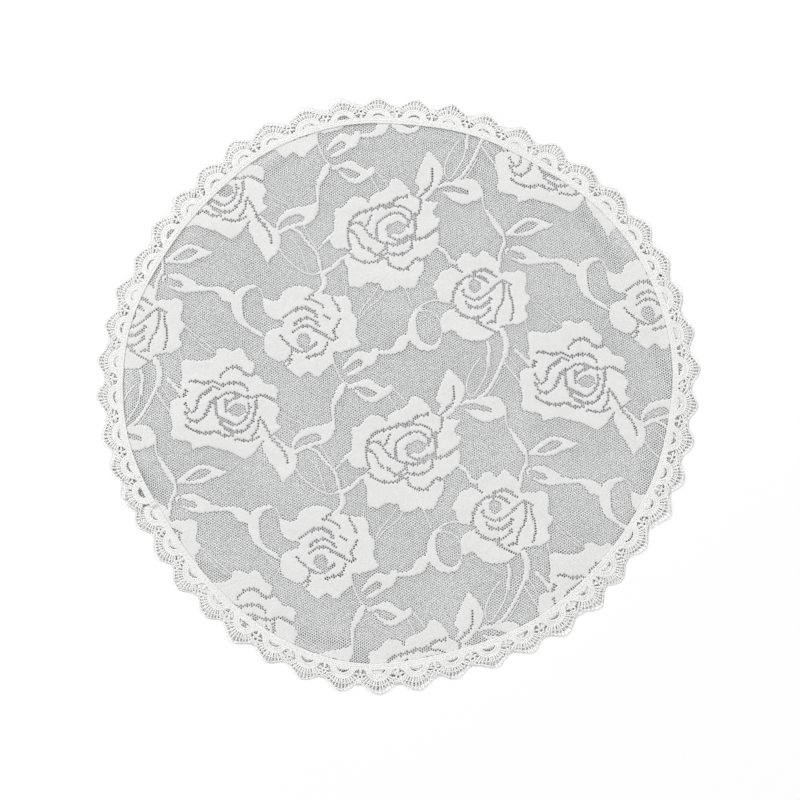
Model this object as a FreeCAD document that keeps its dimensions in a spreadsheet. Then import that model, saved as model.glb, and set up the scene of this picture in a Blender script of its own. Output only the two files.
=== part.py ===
import FreeCAD, Part
import math
import os

# Round lace table cloth, lying flat, in millimetres.
# +Z is up and the table top is z = 0. The origin is the centre of the cloth's
# underside. The cloth is a Raschel-knitted rose lace disc. A strip of
# guipure scallops is laid on its rim, overlapped at its two ends, and sewn down.

doc = FreeCAD.newDocument("LaceCloth")

# ---------------------------------------------------------------- dimensions
SHEET = [
    # name, value, note
    ("panel_radius", 211.0, "cut radius of the knitted lace disc"),
    ("panel_thick", 0.4, "thickness of the net ground"),
    ("motif_raise", 0.25, "how far the knitted-solid flowers stand above the net"),
    ("motif_limit", 202.0, "flowers show up to here, where the trim covers them"),
    ("head_inner", 202.3, "inner radius of the trim's heading cords"),
    ("head_outer", 206.6, "outer radius of the trim's heading cords"),
    ("trim_thick", 1.1, "thickness of the guipure"),
    ("scallops", 48, "scallops round the rim"),
    ("scallop_centre", 206.5, "distance of each scallop's arch centre from the origin"),
    ("arch_inner", 5.1, "radius of the opening under an arch"),
    ("arch_outer", 10.1, "outer radius of the arch cords"),
    ("fan_outer", 17.3, "radius of the fan's rim"),
    ("fan_half_angle", 53.0, "half angle of a fan, degrees"),
    ("slot_inner", 10.9, "inner radius of the gaps between spokes"),
    ("slot_outer", 16.4, "outer radius of the gaps between spokes"),
    ("slot_half_angle", 2.6, "half angle of a gap between spokes, degrees"),
    ("picot_outer", 18.5, "radius to the tips of the picot loops"),
    ("picot_half_angle", 49.0, "half angle of the picot edge, degrees"),
    ("bar_half_width", 0.9, "half width of the bar in each valley"),
    ("bar_top", 211.2, "radius where the valley bar opens into its fork"),
    ("valley_top", 216.2, "radius of the valley between two scallops"),
    ("valley_hole_at", 214.3, "radius at which the small round hole lies"),
    ("valley_hole", 1.1, "radius of the small round hole"),
    ("seam_radius", 204.45, "radius of the line of stitching"),
    ("thread_width", 0.4, "width of the sewing thread"),
    ("thread_high", 0.2, "height of the sewing thread"),
    ("lap_angle", 206.25, "where the two ends of the trim overlap, degrees from +X"),
    ("lap_half_angle", 4.6, "half of the overlap, degrees"),
    ("lap_thick", 0.9, "thickness of the trim's end where it is lapped and pressed"),
    ("tack_length", 5.0, "length of a tacking stitch over the lap"),
    ("repeat_across", 262.6, "width of the knitted pattern's repeat"),
    ("repeat_down", 166.4, "height of the knitted pattern's repeat"),
    ("across_turn", 4.59, "the repeat's width runs at this angle to +X"),
    ("down_turn", -85.01, "the repeat's height runs at this angle to +X"),
    ("repeat_x", -163.3, "X of the repeat's corner"),
    ("repeat_y", 151.8, "Y of the repeat's corner"),
]
sheet = doc.addObject("Spreadsheet::Sheet", "Dims")
for row, (alias, value, note) in enumerate(SHEET, start=1):
    sheet.set("A%d" % row, alias)
    sheet.set("B%d" % row, str(value))
    sheet.set("C%d" % row, note)
    sheet.setAlias("B%d" % row, alias)
doc.recompute()


def dim(alias):
    return float(sheet.get(alias))


def vec(x, y, z=0.0):
    return FreeCAD.Vector(x, y, z)


def polar(r, deg, cx=0.0, cy=0.0):
    return vec(cx + r * math.cos(math.radians(deg)), cy + r * math.sin(math.radians(deg)))


def origin_part(body, role):
    for feature in body.Origin.OriginFeatures:
        if feature.Role == role:
            return feature
    raise RuntimeError("no " + role)


kept = []      # (object, node name)


def new_body(name, node, z_expression=None):
    body = doc.addObject("PartDesign::Body", name)
    body.Label = node
    body.AllowCompound = True
    if z_expression:
        body.setExpression(".Placement.Base.z", z_expression)
    kept.append((body, node))
    return body


def new_sketch(body, name):
    sk = body.newObject("Sketcher::SketchObject", name)
    sk.AttachmentSupport = [(origin_part(body, "XY_Plane"), "")]
    sk.MapMode = "FlatFace"
    return sk


def circle_in(sk, radius_alias, cx_alias=None):
    import Sketcher
    cx = dim(cx_alias) if cx_alias else 0.0
    g = sk.addGeometry(Part.Circle(vec(cx, 0), vec(0, 0, 1), dim(radius_alias)), False)
    if cx_alias:
        sk.addConstraint(Sketcher.Constraint("PointOnObject", g, 3, -1))
        k = sk.addConstraint(Sketcher.Constraint("DistanceX", -1, 1, g, 3, cx))
        sk.setExpression("Constraints[%d]" % k, "Dims." + cx_alias)
    else:
        sk.addConstraint(Sketcher.Constraint("Coincident", g, 3, -1, 1))
    k = sk.addConstraint(Sketcher.Constraint("Radius", g, dim(radius_alias)))
    sk.setExpression("Constraints[%d]" % k, "Dims." + radius_alias)
    return g


def sector_in(sk, cx, r_in, r_out, a0, a1):
    """A closed annular sector about (cx, 0), a0 to a1 in degrees."""
    import Sketcher
    n = vec(0, 0, 1)
    c = vec(cx, 0)
    inner = sk.addGeometry(Part.ArcOfCircle(Part.Circle(c, n, r_in), math.radians(a0), math.radians(a1)), False)
    outer = sk.addGeometry(Part.ArcOfCircle(Part.Circle(c, n, r_out), math.radians(a0), math.radians(a1)), False)
    low = sk.addGeometry(Part.LineSegment(polar(r_in, a0, cx), polar(r_out, a0, cx)), False)
    high = sk.addGeometry(Part.LineSegment(polar(r_in, a1, cx), polar(r_out, a1, cx)), False)
    sk.addConstraint(Sketcher.Constraint("Coincident", inner, 1, low, 1))
    sk.addConstraint(Sketcher.Constraint("Coincident", outer, 1, low, 2))
    sk.addConstraint(Sketcher.Constraint("Coincident", inner, 2, high, 1))
    sk.addConstraint(Sketcher.Constraint("Coincident", outer, 2, high, 2))
    sk.addConstraint(Sketcher.Constraint("Coincident", inner, 3, outer, 3))
    return inner, outer, low, high


def bind(sk, constraint, expression):
    k = sk.addConstraint(constraint)
    sk.setExpression("Constraints[%d]" % k, expression)
    return k


def pad(body, sk, name, length_expression):
    p = body.newObject("PartDesign::Pad", name)
    p.Profile = sk
    p.setExpression("Length", length_expression)
    sk.Visibility = False
    doc.recompute()
    return p


def pocket_through(body, sk, name):
    p = body.newObject("PartDesign::Pocket", name)
    p.Profile = sk
    p.Type = "ThroughAll"
    p.Midplane = True
    sk.Visibility = False
    before = body.Shape.Volume
    doc.recompute()
    if not body.Shape.Volume < before - 1e-6:
        raise RuntimeError(name + " cut nothing")
    return p


def polar_pattern(body, originals, name):
    pat = body.newObject("PartDesign::PolarPattern", name)
    pat.Originals = originals
    pat.Axis = (origin_part(body, "Z_Axis"), [""])
    pat.Angle = 360
    pat.setExpression("Occurrences", "Dims.scallops")
    body.Tip = pat
    doc.recompute()
    return pat


import Sketcher

# -------------------------------------------------------- the knitted disc
panel = new_body("Panel", "lace_ground_panel")
sk = new_sketch(panel, "PanelOutline")
circle_in(sk, "panel_radius")
pad(panel, sk, "PanelPad", "Dims.panel_thick")
# the lower thread of the seam is pulled into the net, so it has a channel
sk = new_sketch(panel, "ThreadChannel")
for sign in (-1, 1):
    r = dim("seam_radius") + sign * dim("thread_width") / 2
    g = sk.addGeometry(Part.Circle(vec(0, 0), vec(0, 0, 1), r), False)
    sk.addConstraint(Sketcher.Constraint("Coincident", g, 3, -1, 1))
    bind(sk, Sketcher.Constraint("Radius", g, r),
         "Dims.seam_radius %s Dims.thread_width / 2" % ("-" if sign < 0 else "+"))
channel = panel.newObject("PartDesign::Pocket", "ThreadChannelCut")
channel.Profile = sk
channel.setExpression("Length", "Dims.thread_high")
channel.Reversed = True
before = panel.Shape.Volume
doc.recompute()
if not panel.Shape.Volume < before - 1:
    raise RuntimeError("the thread channel cut nothing")

# -------------------------------------------------------- the flowers
# Outlines are written in the pattern's own units: 350 across and 222 down
# to one repeat, so they stay right if the repeat's size changes.
ROSE_A = [(150,29),(158,28),(162,24),(166,20),(171,18),(177,19),(182,21),(185,26),(188,19),(194,16),(202,14),(207,10),(214,2.5),(219,4.5),(224,9),(229.5,20),(236,24),(241,27),(258,31),(254,35),(251,41),(258,47.5),(252,57),(254,61),(253.5,70),(250,76),(243,83),(237,87),(234,100),(229.5,106),(227,112),(223,115.5),(214,115.5),(206,115),(199,116.5),(193.5,115.5),(189,108.5),(179,106),(170,111),(159.5,108),(159,99),(160,91),(157,83),(160,74),(158,69.5),(150,69),(145,64),(144,57),(148,51),(149.5,40)]
ROSE_B = [(-15,170),(0,171),(8,171.5),(19,168),(20,162.5),(25,161),(35,164.5),(43,162),(50,169),(52,174),(58,179),(55.5,188.5),(64,194),(67,199),(78,203),(79,208),(77,216),(77,221),(80,227),(75.5,236),(80,243.5),(75,248),(69,250),(64,254),(56,262),(52,267),(42,272.5),(37,270),(25,263),(11,258),(4,256.5),(-4,258),(-10,258),(-11,252),(-23,248.5),(-29,246),(-30,240),(-28,234),(-30,221),(-29,214),(-28,209),(-18,203),(-17,190),(-15,184),(-16,176)]
ROSE_C = [(71,113),(82,117),(88,115),(91,109),(96,106),(103,104),(110,104),(117,106),(122,110),(119,114.5),(132,114),(147,117.5),(155,118.5),(160,129),(158,133),(161,138),(163.5,143),(161,157),(165,168),(160,170.5),(144,173),(137,176),(138,182),(133,186),(127,191),(122,196),(117,195),(112,190),(103,195.5),(98,192),(93,187),(89,183),(89,178),(84,178),(72,170),(69,163),(69.5,156),(76,146),(88,143),(90,139),(86,136),(75,131),(72,125),(71,119)]
ROSE_D = [(252,102),(263,98.5),(268,99.5),(268,94),(276,86),(281,84),(288,90),(296,84),(300,85),(309,94),(313,108),(319,107),(333,107),(338,110),(339,116),(337,123),(337,130),(341,135),(334,146),(336,152),(333,157),(326,160),(309,161),(298,169),(285,174),(270,171),(261,161.5),(251,163),(248,160),(250,146),(261,139.5),(264,136),(256,133),(250,131),(246,121),(243,116),(245,112)]
LEAF_A = [(251,-22),(256,-17),(264.5,-5),(265,2),(263,8),(259,13.5),(249,24),(246,27),(240,26),(236.2,21),(239.5,16),(236,9),(237,4),(243,-9),(247,-16)]
LEAF_B = [(71,29.5),(74,31),(80,37),(86,43),(90,46),(92,52),(91,64),(88,69),(83,72),(78,77.5),(73,67),(64,50),(61,44),(61,38),(64,33)]
LEAF_1 = [(89,41),(92,34),(97,29),(104,25.5),(112,24.5),(127,22.5),(132,22),(133,27),(131,33),(122,41.5),(108,44),(96,47),(92.3,49)]
LEAF_2 = [(146,190),(153,181),(163,174.5),(174,177),(178,173.5),(182,174),(182,179),(177,188.5),(165,194),(151,198),(147,197)]
LEAF_3 = [(322,69),(328,64),(334,59),(341,55.5),(348,53.5),(354,54.5),(360,57),(372,62.5),(358,67.5),(350,71),(343,72),(328,70.5)]
LEAF_4 = [(319.5,85),(325,82.5),(332,81.5),(339,83),(345,87),(349,90.5),(349,101.5),(345,101.5),(338,100.5),(332,98),(326,94)]
LEAF_5 = [(260,16.5),(264,11.5),(271,11),(286,9),(293,9.5),(299,13),(303,19),(304,26),(300,30),(286,34),(279,33),(268,25.5),(261,20)]
LEAF_6 = [(151,207),(163,204.5),(170,203.5),(181,211.5),(186,214),(190,211.5),(194,212),(193,217),(188,221),(174,227),(167,225),(161,220),(152,210.5)]
BULB = [(183,176),(190,176.5),(197,174),(204,164.5),(209,162.5),(213,162),(213.4,164.5),(211,174),(206,178),(199,180),(190,180.5),(184,179)]
RING_G = [(227,135.5),(222,138.5),(218,144),(215,151),(213.5,158),(213.5,165),(217,171),(221,175),(226,178.5),(233,179.5),(240,178.5),(244,175.5),(247.5,170),(246,167),(242,172.5),(237,174.5),(232,173.5),(227,170),(224.5,164),(223,157),(223,150),(224,144),(227,139),(231,137)]
RING_H = [(64,98.5),(57,99),(50,101),(44,105),(42.3,106.5),(41,113.5),(39,116),(40,126),(43,133),(48,139),(54,143.5),(66,151),(68,149.5),(57,141),(50,130),(49.5,124),(50,118),(51,111),(55,105.5),(60,102.5),(66,101)]
RIBBON_H = [(0,90.3),(5,93.5),(10,96),(16,97.5),(24,97.5),(30,98.5),(36,101.5),(42,106),(40.8,113),(38,115),(30,111.5),(27,107),(23,102),(8,101),(0,100)]
BUD_1 = [(134,227),(135.5,220),(138,213),(142,207.5),(146,204.5),(147.5,206.5),(146.5,212),(143,218),(138,224),(135,229)]
BUD_2 = [(305,43),(308,50),(311.5,58),(315,65),(319,71),(321,68.5),(320,62),(316,55),(311,48),(307,42)]


def strand(points, width):
    """Closed outline of a stem of the given width along a few points."""
    left, right = [], []
    for i, (x, y) in enumerate(points):
        x0, y0 = points[max(i - 1, 0)]
        x1, y1 = points[min(i + 1, len(points) - 1)]
        length = math.hypot(x1 - x0, y1 - y0)
        nx, ny = -(y1 - y0) / length * width / 2, (x1 - x0) / length * width / 2
        left.append((x + nx, y + ny))
        right.append((x - nx, y - ny))
    return left + right[::-1]


STEMS = [
    strand([(92, 64.5), (100, 78), (112, 89), (124, 93.2), (138, 91), (149, 84), (156.5, 80)], 2.6),
    strand([(105, 45.7), (115, 53), (124, 65), (130.5, 76), (131.3, 90.3)], 2.4),
    strand([(132, 95.3), (134, 104), (131, 109), (127, 112.6)], 3.6),
    strand([(148.5, 55), (142, 58), (131.5, 67)], 2.6),
    strand([(133, 21.3), (133.3, 10), (134.2, 7.8)], 2.4),
    strand([(138.5, 184), (142, 194), (145, 201)], 2.2),
    strand([(320.2, 74), (316.5, 83), (312.5, 92)], 2.6),
    strand([(304.8, 29), (303.6, 36), (304.6, 42)], 2.2),
    strand([(254.5, 77), (260.5, 84), (263, 90), (266, 92.5)], 2.6),
    strand([(311, 164.5), (311, 183), (304.5, 199), (295, 215), (283, 229)], 3.4),
    strand([(284.5, 189), (276, 200), (267.5, 217), (268, 226)], 2.2),
    strand([(292.5, 176), (293.5, 184), (291, 199)], 2.4),
    strand([(188.5, 110.5), (178, 123), (165.8, 139)], 2.2),
    strand([(315, 195), (322, 208), (326, 214)], 2.2),
]

MOTIFS = [
    ("RoseA", "large_rose_a", [ROSE_A]),
    ("RoseB", "large_rose_b", [ROSE_B]),
    ("RoseC", "small_rose_c", [ROSE_C]),
    ("RoseD", "small_rose_d", [ROSE_D]),
    ("RoseLeaves", "rose_leaves", [LEAF_A, LEAF_B]),
    ("LeafSprays", "leaf_sprays", [LEAF_1, LEAF_2, LEAF_3, LEAF_4, LEAF_5, LEAF_6]),
    ("Scrolls", "scroll_ribbons", [BULB, RING_G, RING_H, RIBBON_H]),
    ("Buds", "flower_buds", [BUD_1, BUD_2]),
    ("Stems", "flower_stems", STEMS),
]

across = polar(dim("repeat_across"), dim("across_turn"))
down = polar(dim("repeat_down"), dim("down_turn"))
corner = vec(dim("repeat_x"), dim("repeat_y"))


def placed(outline, i, j):
    out = []
    for u, v in outline:
        out.append(corner + across * (u / 350.0 + i) + down * (v / 222.0 + j))
    return out


for name, node, outlines in MOTIFS:
    sk = doc.addObject("Sketcher::SketchObject", name + "Outlines")
    sk.setExpression(".Placement.Base.z", "Dims.panel_thick")
    edges = []
    for outline in outlines:
        for i in range(-2, 3):
            for j in range(-2, 4):
                pts = placed(outline, i, j)
                if min(p.Length for p in pts) > dim("motif_limit") - 1.5:
                    continue
                for a, b in zip(pts, pts[1:] + pts[:1]):
                    edges.append(Part.LineSegment(a, b))
    sk.addGeometry(edges, False)
    raised = doc.addObject("Part::Extrusion", name + "Raised")
    raised.Base = sk
    raised.DirMode = "Normal"
    raised.setExpression("LengthFwd", "Dims.motif_raise")
    raised.Solid = True
    raised.FaceMakerClass = "Part::FaceMakerBullseye"
    limit = doc.addObject("Part::Cylinder", name + "Limit")
    limit.setExpression("Radius", "Dims.motif_limit")
    limit.setExpression("Height", "Dims.panel_thick + Dims.motif_raise + 1")
    common = doc.addObject("Part::MultiCommon", name)
    common.Shapes = [raised, limit]
    common.Label = node
    kept.append((common, node))
doc.recompute()

# -------------------------------------------------------- the guipure trim
top = "Dims.panel_thick"

head = new_body("Heading", "trim_heading_band", top)
sk = new_sketch(head, "HeadingRing")
circle_in(sk, "head_inner")
circle_in(sk, "head_outer")
pad(head, sk, "HeadingPad", "Dims.trim_thick")

arch = new_body("Arches", "trim_arch_cords", top)
sk = new_sketch(arch, "ArchRing")
circle_in(sk, "arch_inner", "scallop_centre")
circle_in(sk, "arch_outer", "scallop_centre")
p = pad(arch, sk, "ArchPad", "Dims.trim_thick")
polar_pattern(arch, [p], "ArchRound")
sk = new_sketch(arch, "ArchFoot")
circle_in(sk, "head_outer")
pocket_through(arch, sk, "ArchFootCut")

fan = new_body("Fans", "trim_fan_spokes", top)
sk = new_sketch(fan, "FanPlate")
cx = dim("scallop_centre")
half = dim("fan_half_angle")
inner, outer, low, high = sector_in(sk, cx, dim("arch_outer"), dim("fan_outer"), -half, half)
sk.addConstraint(Sketcher.Constraint("PointOnObject", outer, 3, -1))
bind(sk, Sketcher.Constraint("DistanceX", -1, 1, outer, 3, cx), "Dims.scallop_centre")
bind(sk, Sketcher.Constraint("Radius", inner, dim("arch_outer")), "Dims.arch_outer")
bind(sk, Sketcher.Constraint("Radius", outer, dim("fan_outer")), "Dims.fan_outer")
p = pad(fan, sk, "FanPad", "Dims.trim_thick")
sk = new_sketch(fan, "FanGaps")
gaps = [-42.0, -31.0, -20.0, -8.5, 8.5, 20.0, 31.0, 42.0]
for a in gaps:
    w = dim("slot_half_angle")
    sector_in(sk, cx, dim("slot_inner"), dim("slot_outer"), a - w, a + w)
q = pocket_through(fan, sk, "FanGapsCut")
polar_pattern(fan, [p, q], "FanRound")

picot = new_body("Picots", "trim_picot_edge", top)
sk = new_sketch(picot, "PicotStrip")
half = dim("picot_half_angle")
inner, outer, low, high = sector_in(sk, cx, dim("fan_outer"), dim("picot_outer"), -half, half)
sk.addConstraint(Sketcher.Constraint("PointOnObject", outer, 3, -1))
bind(sk, Sketcher.Constraint("DistanceX", -1, 1, outer, 3, cx), "Dims.scallop_centre")
bind(sk, Sketcher.Constraint("Radius", inner, dim("fan_outer")), "Dims.fan_outer")
bind(sk, Sketcher.Constraint("Radius", outer, dim("picot_outer")), "Dims.picot_outer")
p = pad(picot, sk, "PicotPad", "Dims.trim_thick * 0.7")
polar_pattern(picot, [p], "PicotRound")

# bars: one in each valley, a stalk that forks round a small hole
bars = new_body("Bars", "trim_valley_bars", top)
sk = new_sketch(bars, "BarOutline")
step = 360.0 / dim("scallops")
mid = step / 2
fan_half = dim("fan_half_angle")


def from_fan(radius):
    """Point on the fan's side edge, turned into the valley's own frame."""
    q = polar(radius, fan_half, cx)
    r, a = q.Length, math.degrees(math.atan2(q.y, q.x)) - mid
    return polar(r, a)


bw = dim("bar_half_width")
foot = vec(math.sqrt(dim("head_outer") ** 2 - bw ** 2), -bw)
fork = vec(dim("bar_top"), -bw)
side_low = from_fan(dim("arch_outer") + 1.2)
side_high = from_fan(dim("fan_outer") - 0.4)
crest = vec(dim("valley_top"), 0)
half_line = [foot, fork, side_low, side_high, crest]
line = half_line + [vec(p.x, -p.y) for p in reversed(half_line[:-1])]
ids = []
turned = [polar(p.Length, math.degrees(math.atan2(p.y, p.x)) + mid) for p in line]
for a, b in zip(turned, turned[1:]):
    ids.append(sk.addGeometry(Part.LineSegment(a, b), False))
a0 = math.atan2(turned[0].y, turned[0].x)
a1 = math.atan2(turned[-1].y, turned[-1].x)
ids.append(sk.addGeometry(Part.ArcOfCircle(Part.Circle(vec(0, 0), vec(0, 0, 1), dim("head_outer")), a0, a1), False))
for a, b in zip(ids[:-1], ids[1:-1]):
    sk.addConstraint(Sketcher.Constraint("Coincident", a, 2, b, 1))
sk.addConstraint(Sketcher.Constraint("Coincident", ids[0], 1, ids[-1], 1))
sk.addConstraint(Sketcher.Constraint("Coincident", ids[-2], 2, ids[-1], 2))
sk.addConstraint(Sketcher.Constraint("Coincident", ids[-1], 3, -1, 1))
bind(sk, Sketcher.Constraint("Radius", ids[-1], dim("head_outer")), "Dims.head_outer")
p = pad(bars, sk, "BarPad", "Dims.trim_thick")
sk = new_sketch(bars, "BarHole")
hole_at = polar(dim("valley_hole_at"), mid)
g = sk.addGeometry(Part.Circle(hole_at, vec(0, 0, 1), dim("valley_hole")), False)
bind(sk, Sketcher.Constraint("Radius", g, dim("valley_hole")), "Dims.valley_hole")
q = pocket_through(bars, sk, "BarHoleCut")
polar_pattern(bars, [p, q], "BarRound")

# the end of the strip, lapped over its beginning
lap = new_body("LapEnd", "trim_lap_end", "Dims.panel_thick + Dims.trim_thick")
lap.setExpression(".Placement.Rotation.Angle", "Dims.lap_angle")
sk = new_sketch(lap, "LapHeading")
w = dim("lap_half_angle")
inner, outer, low, high = sector_in(sk, 0.0, dim("head_inner"), dim("head_outer"), -w, w)
sk.addConstraint(Sketcher.Constraint("Coincident", outer, 3, -1, 1))
bind(sk, Sketcher.Constraint("Radius", inner, dim("head_inner")), "Dims.head_inner")
bind(sk, Sketcher.Constraint("Radius", outer, dim("head_outer")), "Dims.head_outer")
pad(lap, sk, "LapHeadingPad", "Dims.lap_thick")
sk = new_sketch(lap, "LapFan")
circle_in(sk, "arch_inner", "scallop_centre")
half = dim("picot_half_angle")
r_fan = dim("fan_outer")
arc = sk.addGeometry(Part.ArcOfCircle(Part.Circle(vec(cx, 0), vec(0, 0, 1), r_fan),
                                      math.radians(-half), math.radians(half)), False)
foot_y = dim("arch_outer")
foot_x = math.sqrt(dim("head_outer") ** 2 - foot_y ** 2) - 0.6
pts = [polar(r_fan, half, cx), vec(cx + 2.0, foot_y), vec(foot_x, foot_y),
       vec(foot_x, -foot_y), vec(cx + 2.0, -foot_y), polar(r_fan, -half, cx)]
ids = [sk.addGeometry(Part.LineSegment(a, b), False) for a, b in zip(pts, pts[1:])]
sk.addConstraint(Sketcher.Constraint("Coincident", arc, 2, ids[0], 1))
for a, b in zip(ids, ids[1:]):
    sk.addConstraint(Sketcher.Constraint("Coincident", a, 2, b, 1))
sk.addConstraint(Sketcher.Constraint("Coincident", ids[-1], 2, arc, 1))
pad(lap, sk, "LapFanPad", "Dims.lap_thick")
sk = new_sketch(lap, "LapFanGaps")
for a in gaps:
    w = dim("slot_half_angle")
    sector_in(sk, cx, dim("slot_inner"), dim("slot_outer"), a - w, a + w)
pocket_through(lap, sk, "LapFanGapsCut")

# -------------------------------------------------------- sewing thread
upper = new_body("UpperThread", "seam_needle_thread", "Dims.panel_thick + Dims.trim_thick")
upper.setExpression(".Placement.Rotation.Angle", "Dims.lap_angle")
sk = new_sketch(upper, "UpperThreadLine")
w = dim("lap_half_angle") + 0.3
tw = dim("thread_width") / 2
inner, outer, low, high = sector_in(sk, 0.0, dim("seam_radius") - tw, dim("seam_radius") + tw, w, 360 - w)
sk.addConstraint(Sketcher.Constraint("Coincident", outer, 3, -1, 1))
bind(sk, Sketcher.Constraint("Radius", inner, dim("seam_radius") - tw), "Dims.seam_radius - Dims.thread_width / 2")
bind(sk, Sketcher.Constraint("Radius", outer, dim("seam_radius") + tw), "Dims.seam_radius + Dims.thread_width / 2")
pad(upper, sk, "UpperThreadPad", "Dims.thread_high")

lower = new_body("LowerThread", "seam_bobbin_thread")
sk = new_sketch(lower, "LowerThreadLine")
for sign in (-1, 1):
    r = dim("seam_radius") + sign * tw
    g = sk.addGeometry(Part.Circle(vec(0, 0), vec(0, 0, 1), r), False)
    sk.addConstraint(Sketcher.Constraint("Coincident", g, 3, -1, 1))
    bind(sk, Sketcher.Constraint("Radius", g, r),
         "Dims.seam_radius %s Dims.thread_width / 2" % ("-" if sign < 0 else "+"))
pad(lower, sk, "LowerThreadPad", "Dims.thread_high")

tack_pieces = []
for k, turn in enumerate((-3.6, -2.6, 2.6, 3.6)):
    t = doc.addObject("Part::Box", "Tack%d" % (k + 1))
    t.setExpression("Length", "Dims.tack_length * 0.7")
    t.setExpression("Width", "Dims.thread_width")
    t.setExpression("Height", "Dims.thread_high")
    a = dim("lap_angle") + turn
    base = polar(dim("head_inner") + 0.4, a)
    base.z = dim("panel_thick") + dim("trim_thick") + dim("lap_thick")
    t.Placement = FreeCAD.Placement(base, FreeCAD.Rotation(vec(0, 0, 1), a))
    tack_pieces.append(t)
tacks = doc.addObject("Part::Compound", "Tacks")
tacks.Links = tack_pieces
tacks.Label = "lap_tack_stitches"
kept.append((tacks, "lap_tack_stitches"))

doc.recompute()

# -------------------------------------------------------- checks and files
for obj in doc.Objects:
    if "Invalid" in obj.State or "Error" in obj.State:
        raise RuntimeError("%s is %s" % (obj.Name, obj.State))

os.makedirs("parts", exist_ok=True)
names = set()
for obj, node in kept:
    shape = obj.Shape
    if shape.isNull() or not shape.isValid():
        raise RuntimeError(node + " has no valid shape")
    if not shape.Solids:
        raise RuntimeError(node + " has no solid")
    if node in names:
        raise RuntimeError(node + " twice")
    names.add(node)
    shape.exportStep("parts/%s.step" % node)
    b = shape.BoundBox
    print("%-20s solids %4d  volume %9.1f  z %.2f to %.2f  x %.1f to %.1f  y %.1f to %.1f" % (
        node, len(shape.Solids), shape.Volume, b.ZMin, b.ZMax, b.XMin, b.XMax, b.YMin, b.YMax))
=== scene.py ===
import math

import bpy
import numpy as np
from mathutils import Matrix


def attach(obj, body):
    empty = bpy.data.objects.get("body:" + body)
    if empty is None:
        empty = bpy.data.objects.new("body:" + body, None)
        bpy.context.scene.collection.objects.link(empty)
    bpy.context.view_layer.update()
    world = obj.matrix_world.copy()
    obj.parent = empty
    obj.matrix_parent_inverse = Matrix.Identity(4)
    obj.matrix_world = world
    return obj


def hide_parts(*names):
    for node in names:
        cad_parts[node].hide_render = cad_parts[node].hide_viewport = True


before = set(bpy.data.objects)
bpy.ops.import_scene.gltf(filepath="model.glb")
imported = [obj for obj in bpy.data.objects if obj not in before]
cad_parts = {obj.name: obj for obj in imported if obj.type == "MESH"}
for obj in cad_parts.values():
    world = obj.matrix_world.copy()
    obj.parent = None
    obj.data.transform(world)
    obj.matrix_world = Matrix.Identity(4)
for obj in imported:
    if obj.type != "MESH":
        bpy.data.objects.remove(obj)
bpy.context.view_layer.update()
rng = np.random.default_rng(20)
MM = 0.001

# ------------------------------------------------------------------ pattern
# The knitted pattern's repeat, in its own units: 350 across (u) and 222 down (v).
U, V = 350.0, 222.0
ROSE_A = [(150,29),(158,28),(162,24),(166,20),(171,18),(177,19),(182,21),(185,26),(188,19),(194,16),(202,14),(207,10),(210,5),(214,2.5),(219,4.5),(224,9),(228,14),(229.5,20),(236,24),(241,27),(249,29),(258,31),(254,35),(251,41),(253,45),(258,47.5),(255,51.5),(252,57),(254,61),(253.5,70),(250,76),(243,83),(237,87),(236.5,93),(234,100),(229.5,106),(227,112),(223,115.5),(214,115.5),(210.5,112),(206,115),(199,116.5),(193.5,115.5),(191,112),(189,108.5),(184,107.5),(179,106),(174,108.5),(170,111),(164,109.5),(159.5,108),(159,99),(160,91),(157,83),(160,74),(158,69.5),(150,69),(145,64),(144,57),(148,51),(149.5,40)]
ROSE_B = [(-15,170),(-8,169),(0,171),(8,171.5),(14,170),(19,168),(20,162.5),(25,161),(30,162),(35,164.5),(39,164),(43,162),(47,164),(50,169),(52,174),(56,176),(58,179),(57.5,184),(55.5,188.5),(60,191),(64,194),(67,199),(73,201),(78,203),(79,208),(77,216),(77,221),(80,227),(78,231),(75.5,236),(77,241),(80,243.5),(75,248),(69,250),(64,254),(59,258),(56,262),(52,267),(47,271),(42,272.5),(37,270),(31,266.5),(25,263),(18,261),(11,258),(4,256.5),(-4,258),(-10,258),(-11,252),(-16,250),(-23,248.5),(-29,246),(-30,240),(-28,234),(-29,227),(-30,221),(-29,214),(-28,209),(-22,206),(-18,203),(-17,196),(-17,190),(-15,184),(-16,176)]
ROSE_C = [(71,113),(76,115),(82,117),(88,115),(91,109),(96,106),(103,104),(110,104),(117,106),(122,110),(119,114.5),(126,113.5),(132,114),(139,116),(147,117.5),(155,118.5),(158,123),(160,129),(158,133),(161,138),(163.5,143),(162.5,150),(161,157),(163,163),(165,168),(160,170.5),(152,172),(144,173),(139,172),(137,176),(138,182),(133,186),(127,191),(122,196),(117,195),(112,190),(107,192),(103,195.5),(98,192),(93,187),(89,183),(89,178),(84,178),(78,175),(72,170),(69,163),(69.5,156),(71,150),(76,146),(83,144.5),(88,143),(90,139),(86,136),(80,135),(75,131),(72,125),(71,119)]
ROSE_D = [(252,102),(257,100),(263,98.5),(268,99.5),(270,96),(268,94),(271,90),(276,86),(281,84),(285,87),(288,90),(292,87),(296,84),(300,85),(304,90),(309,94),(312,98),(311,104),(313,108),(319,107),(326,108),(333,107),(338,110),(339,116),(337,123),(337,130),(341,135),(337,140),(334,146),(336,152),(333,157),(326,160),(317,160),(309,161),(303,166),(298,169),(292,173),(285,174),(277,173),(270,171),(265,167),(261,161.5),(256,161),(251,163),(248,160),(248,152),(250,146),(255,142),(261,139.5),(264,136),(262,133),(256,133),(250,131),(247,127),(246,121),(243,116),(245,112),(249,107)]
LEAF_A = [(251,-22),(256,-17),(261,-11),(264.5,-5),(265,2),(263,8),(259,13.5),(254,19),(249,24),(243,27.5),(238,25),(236,21),(239.5,16),(236,9),(237,4),(240,-3),(243,-9),(247,-16)]
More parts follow.
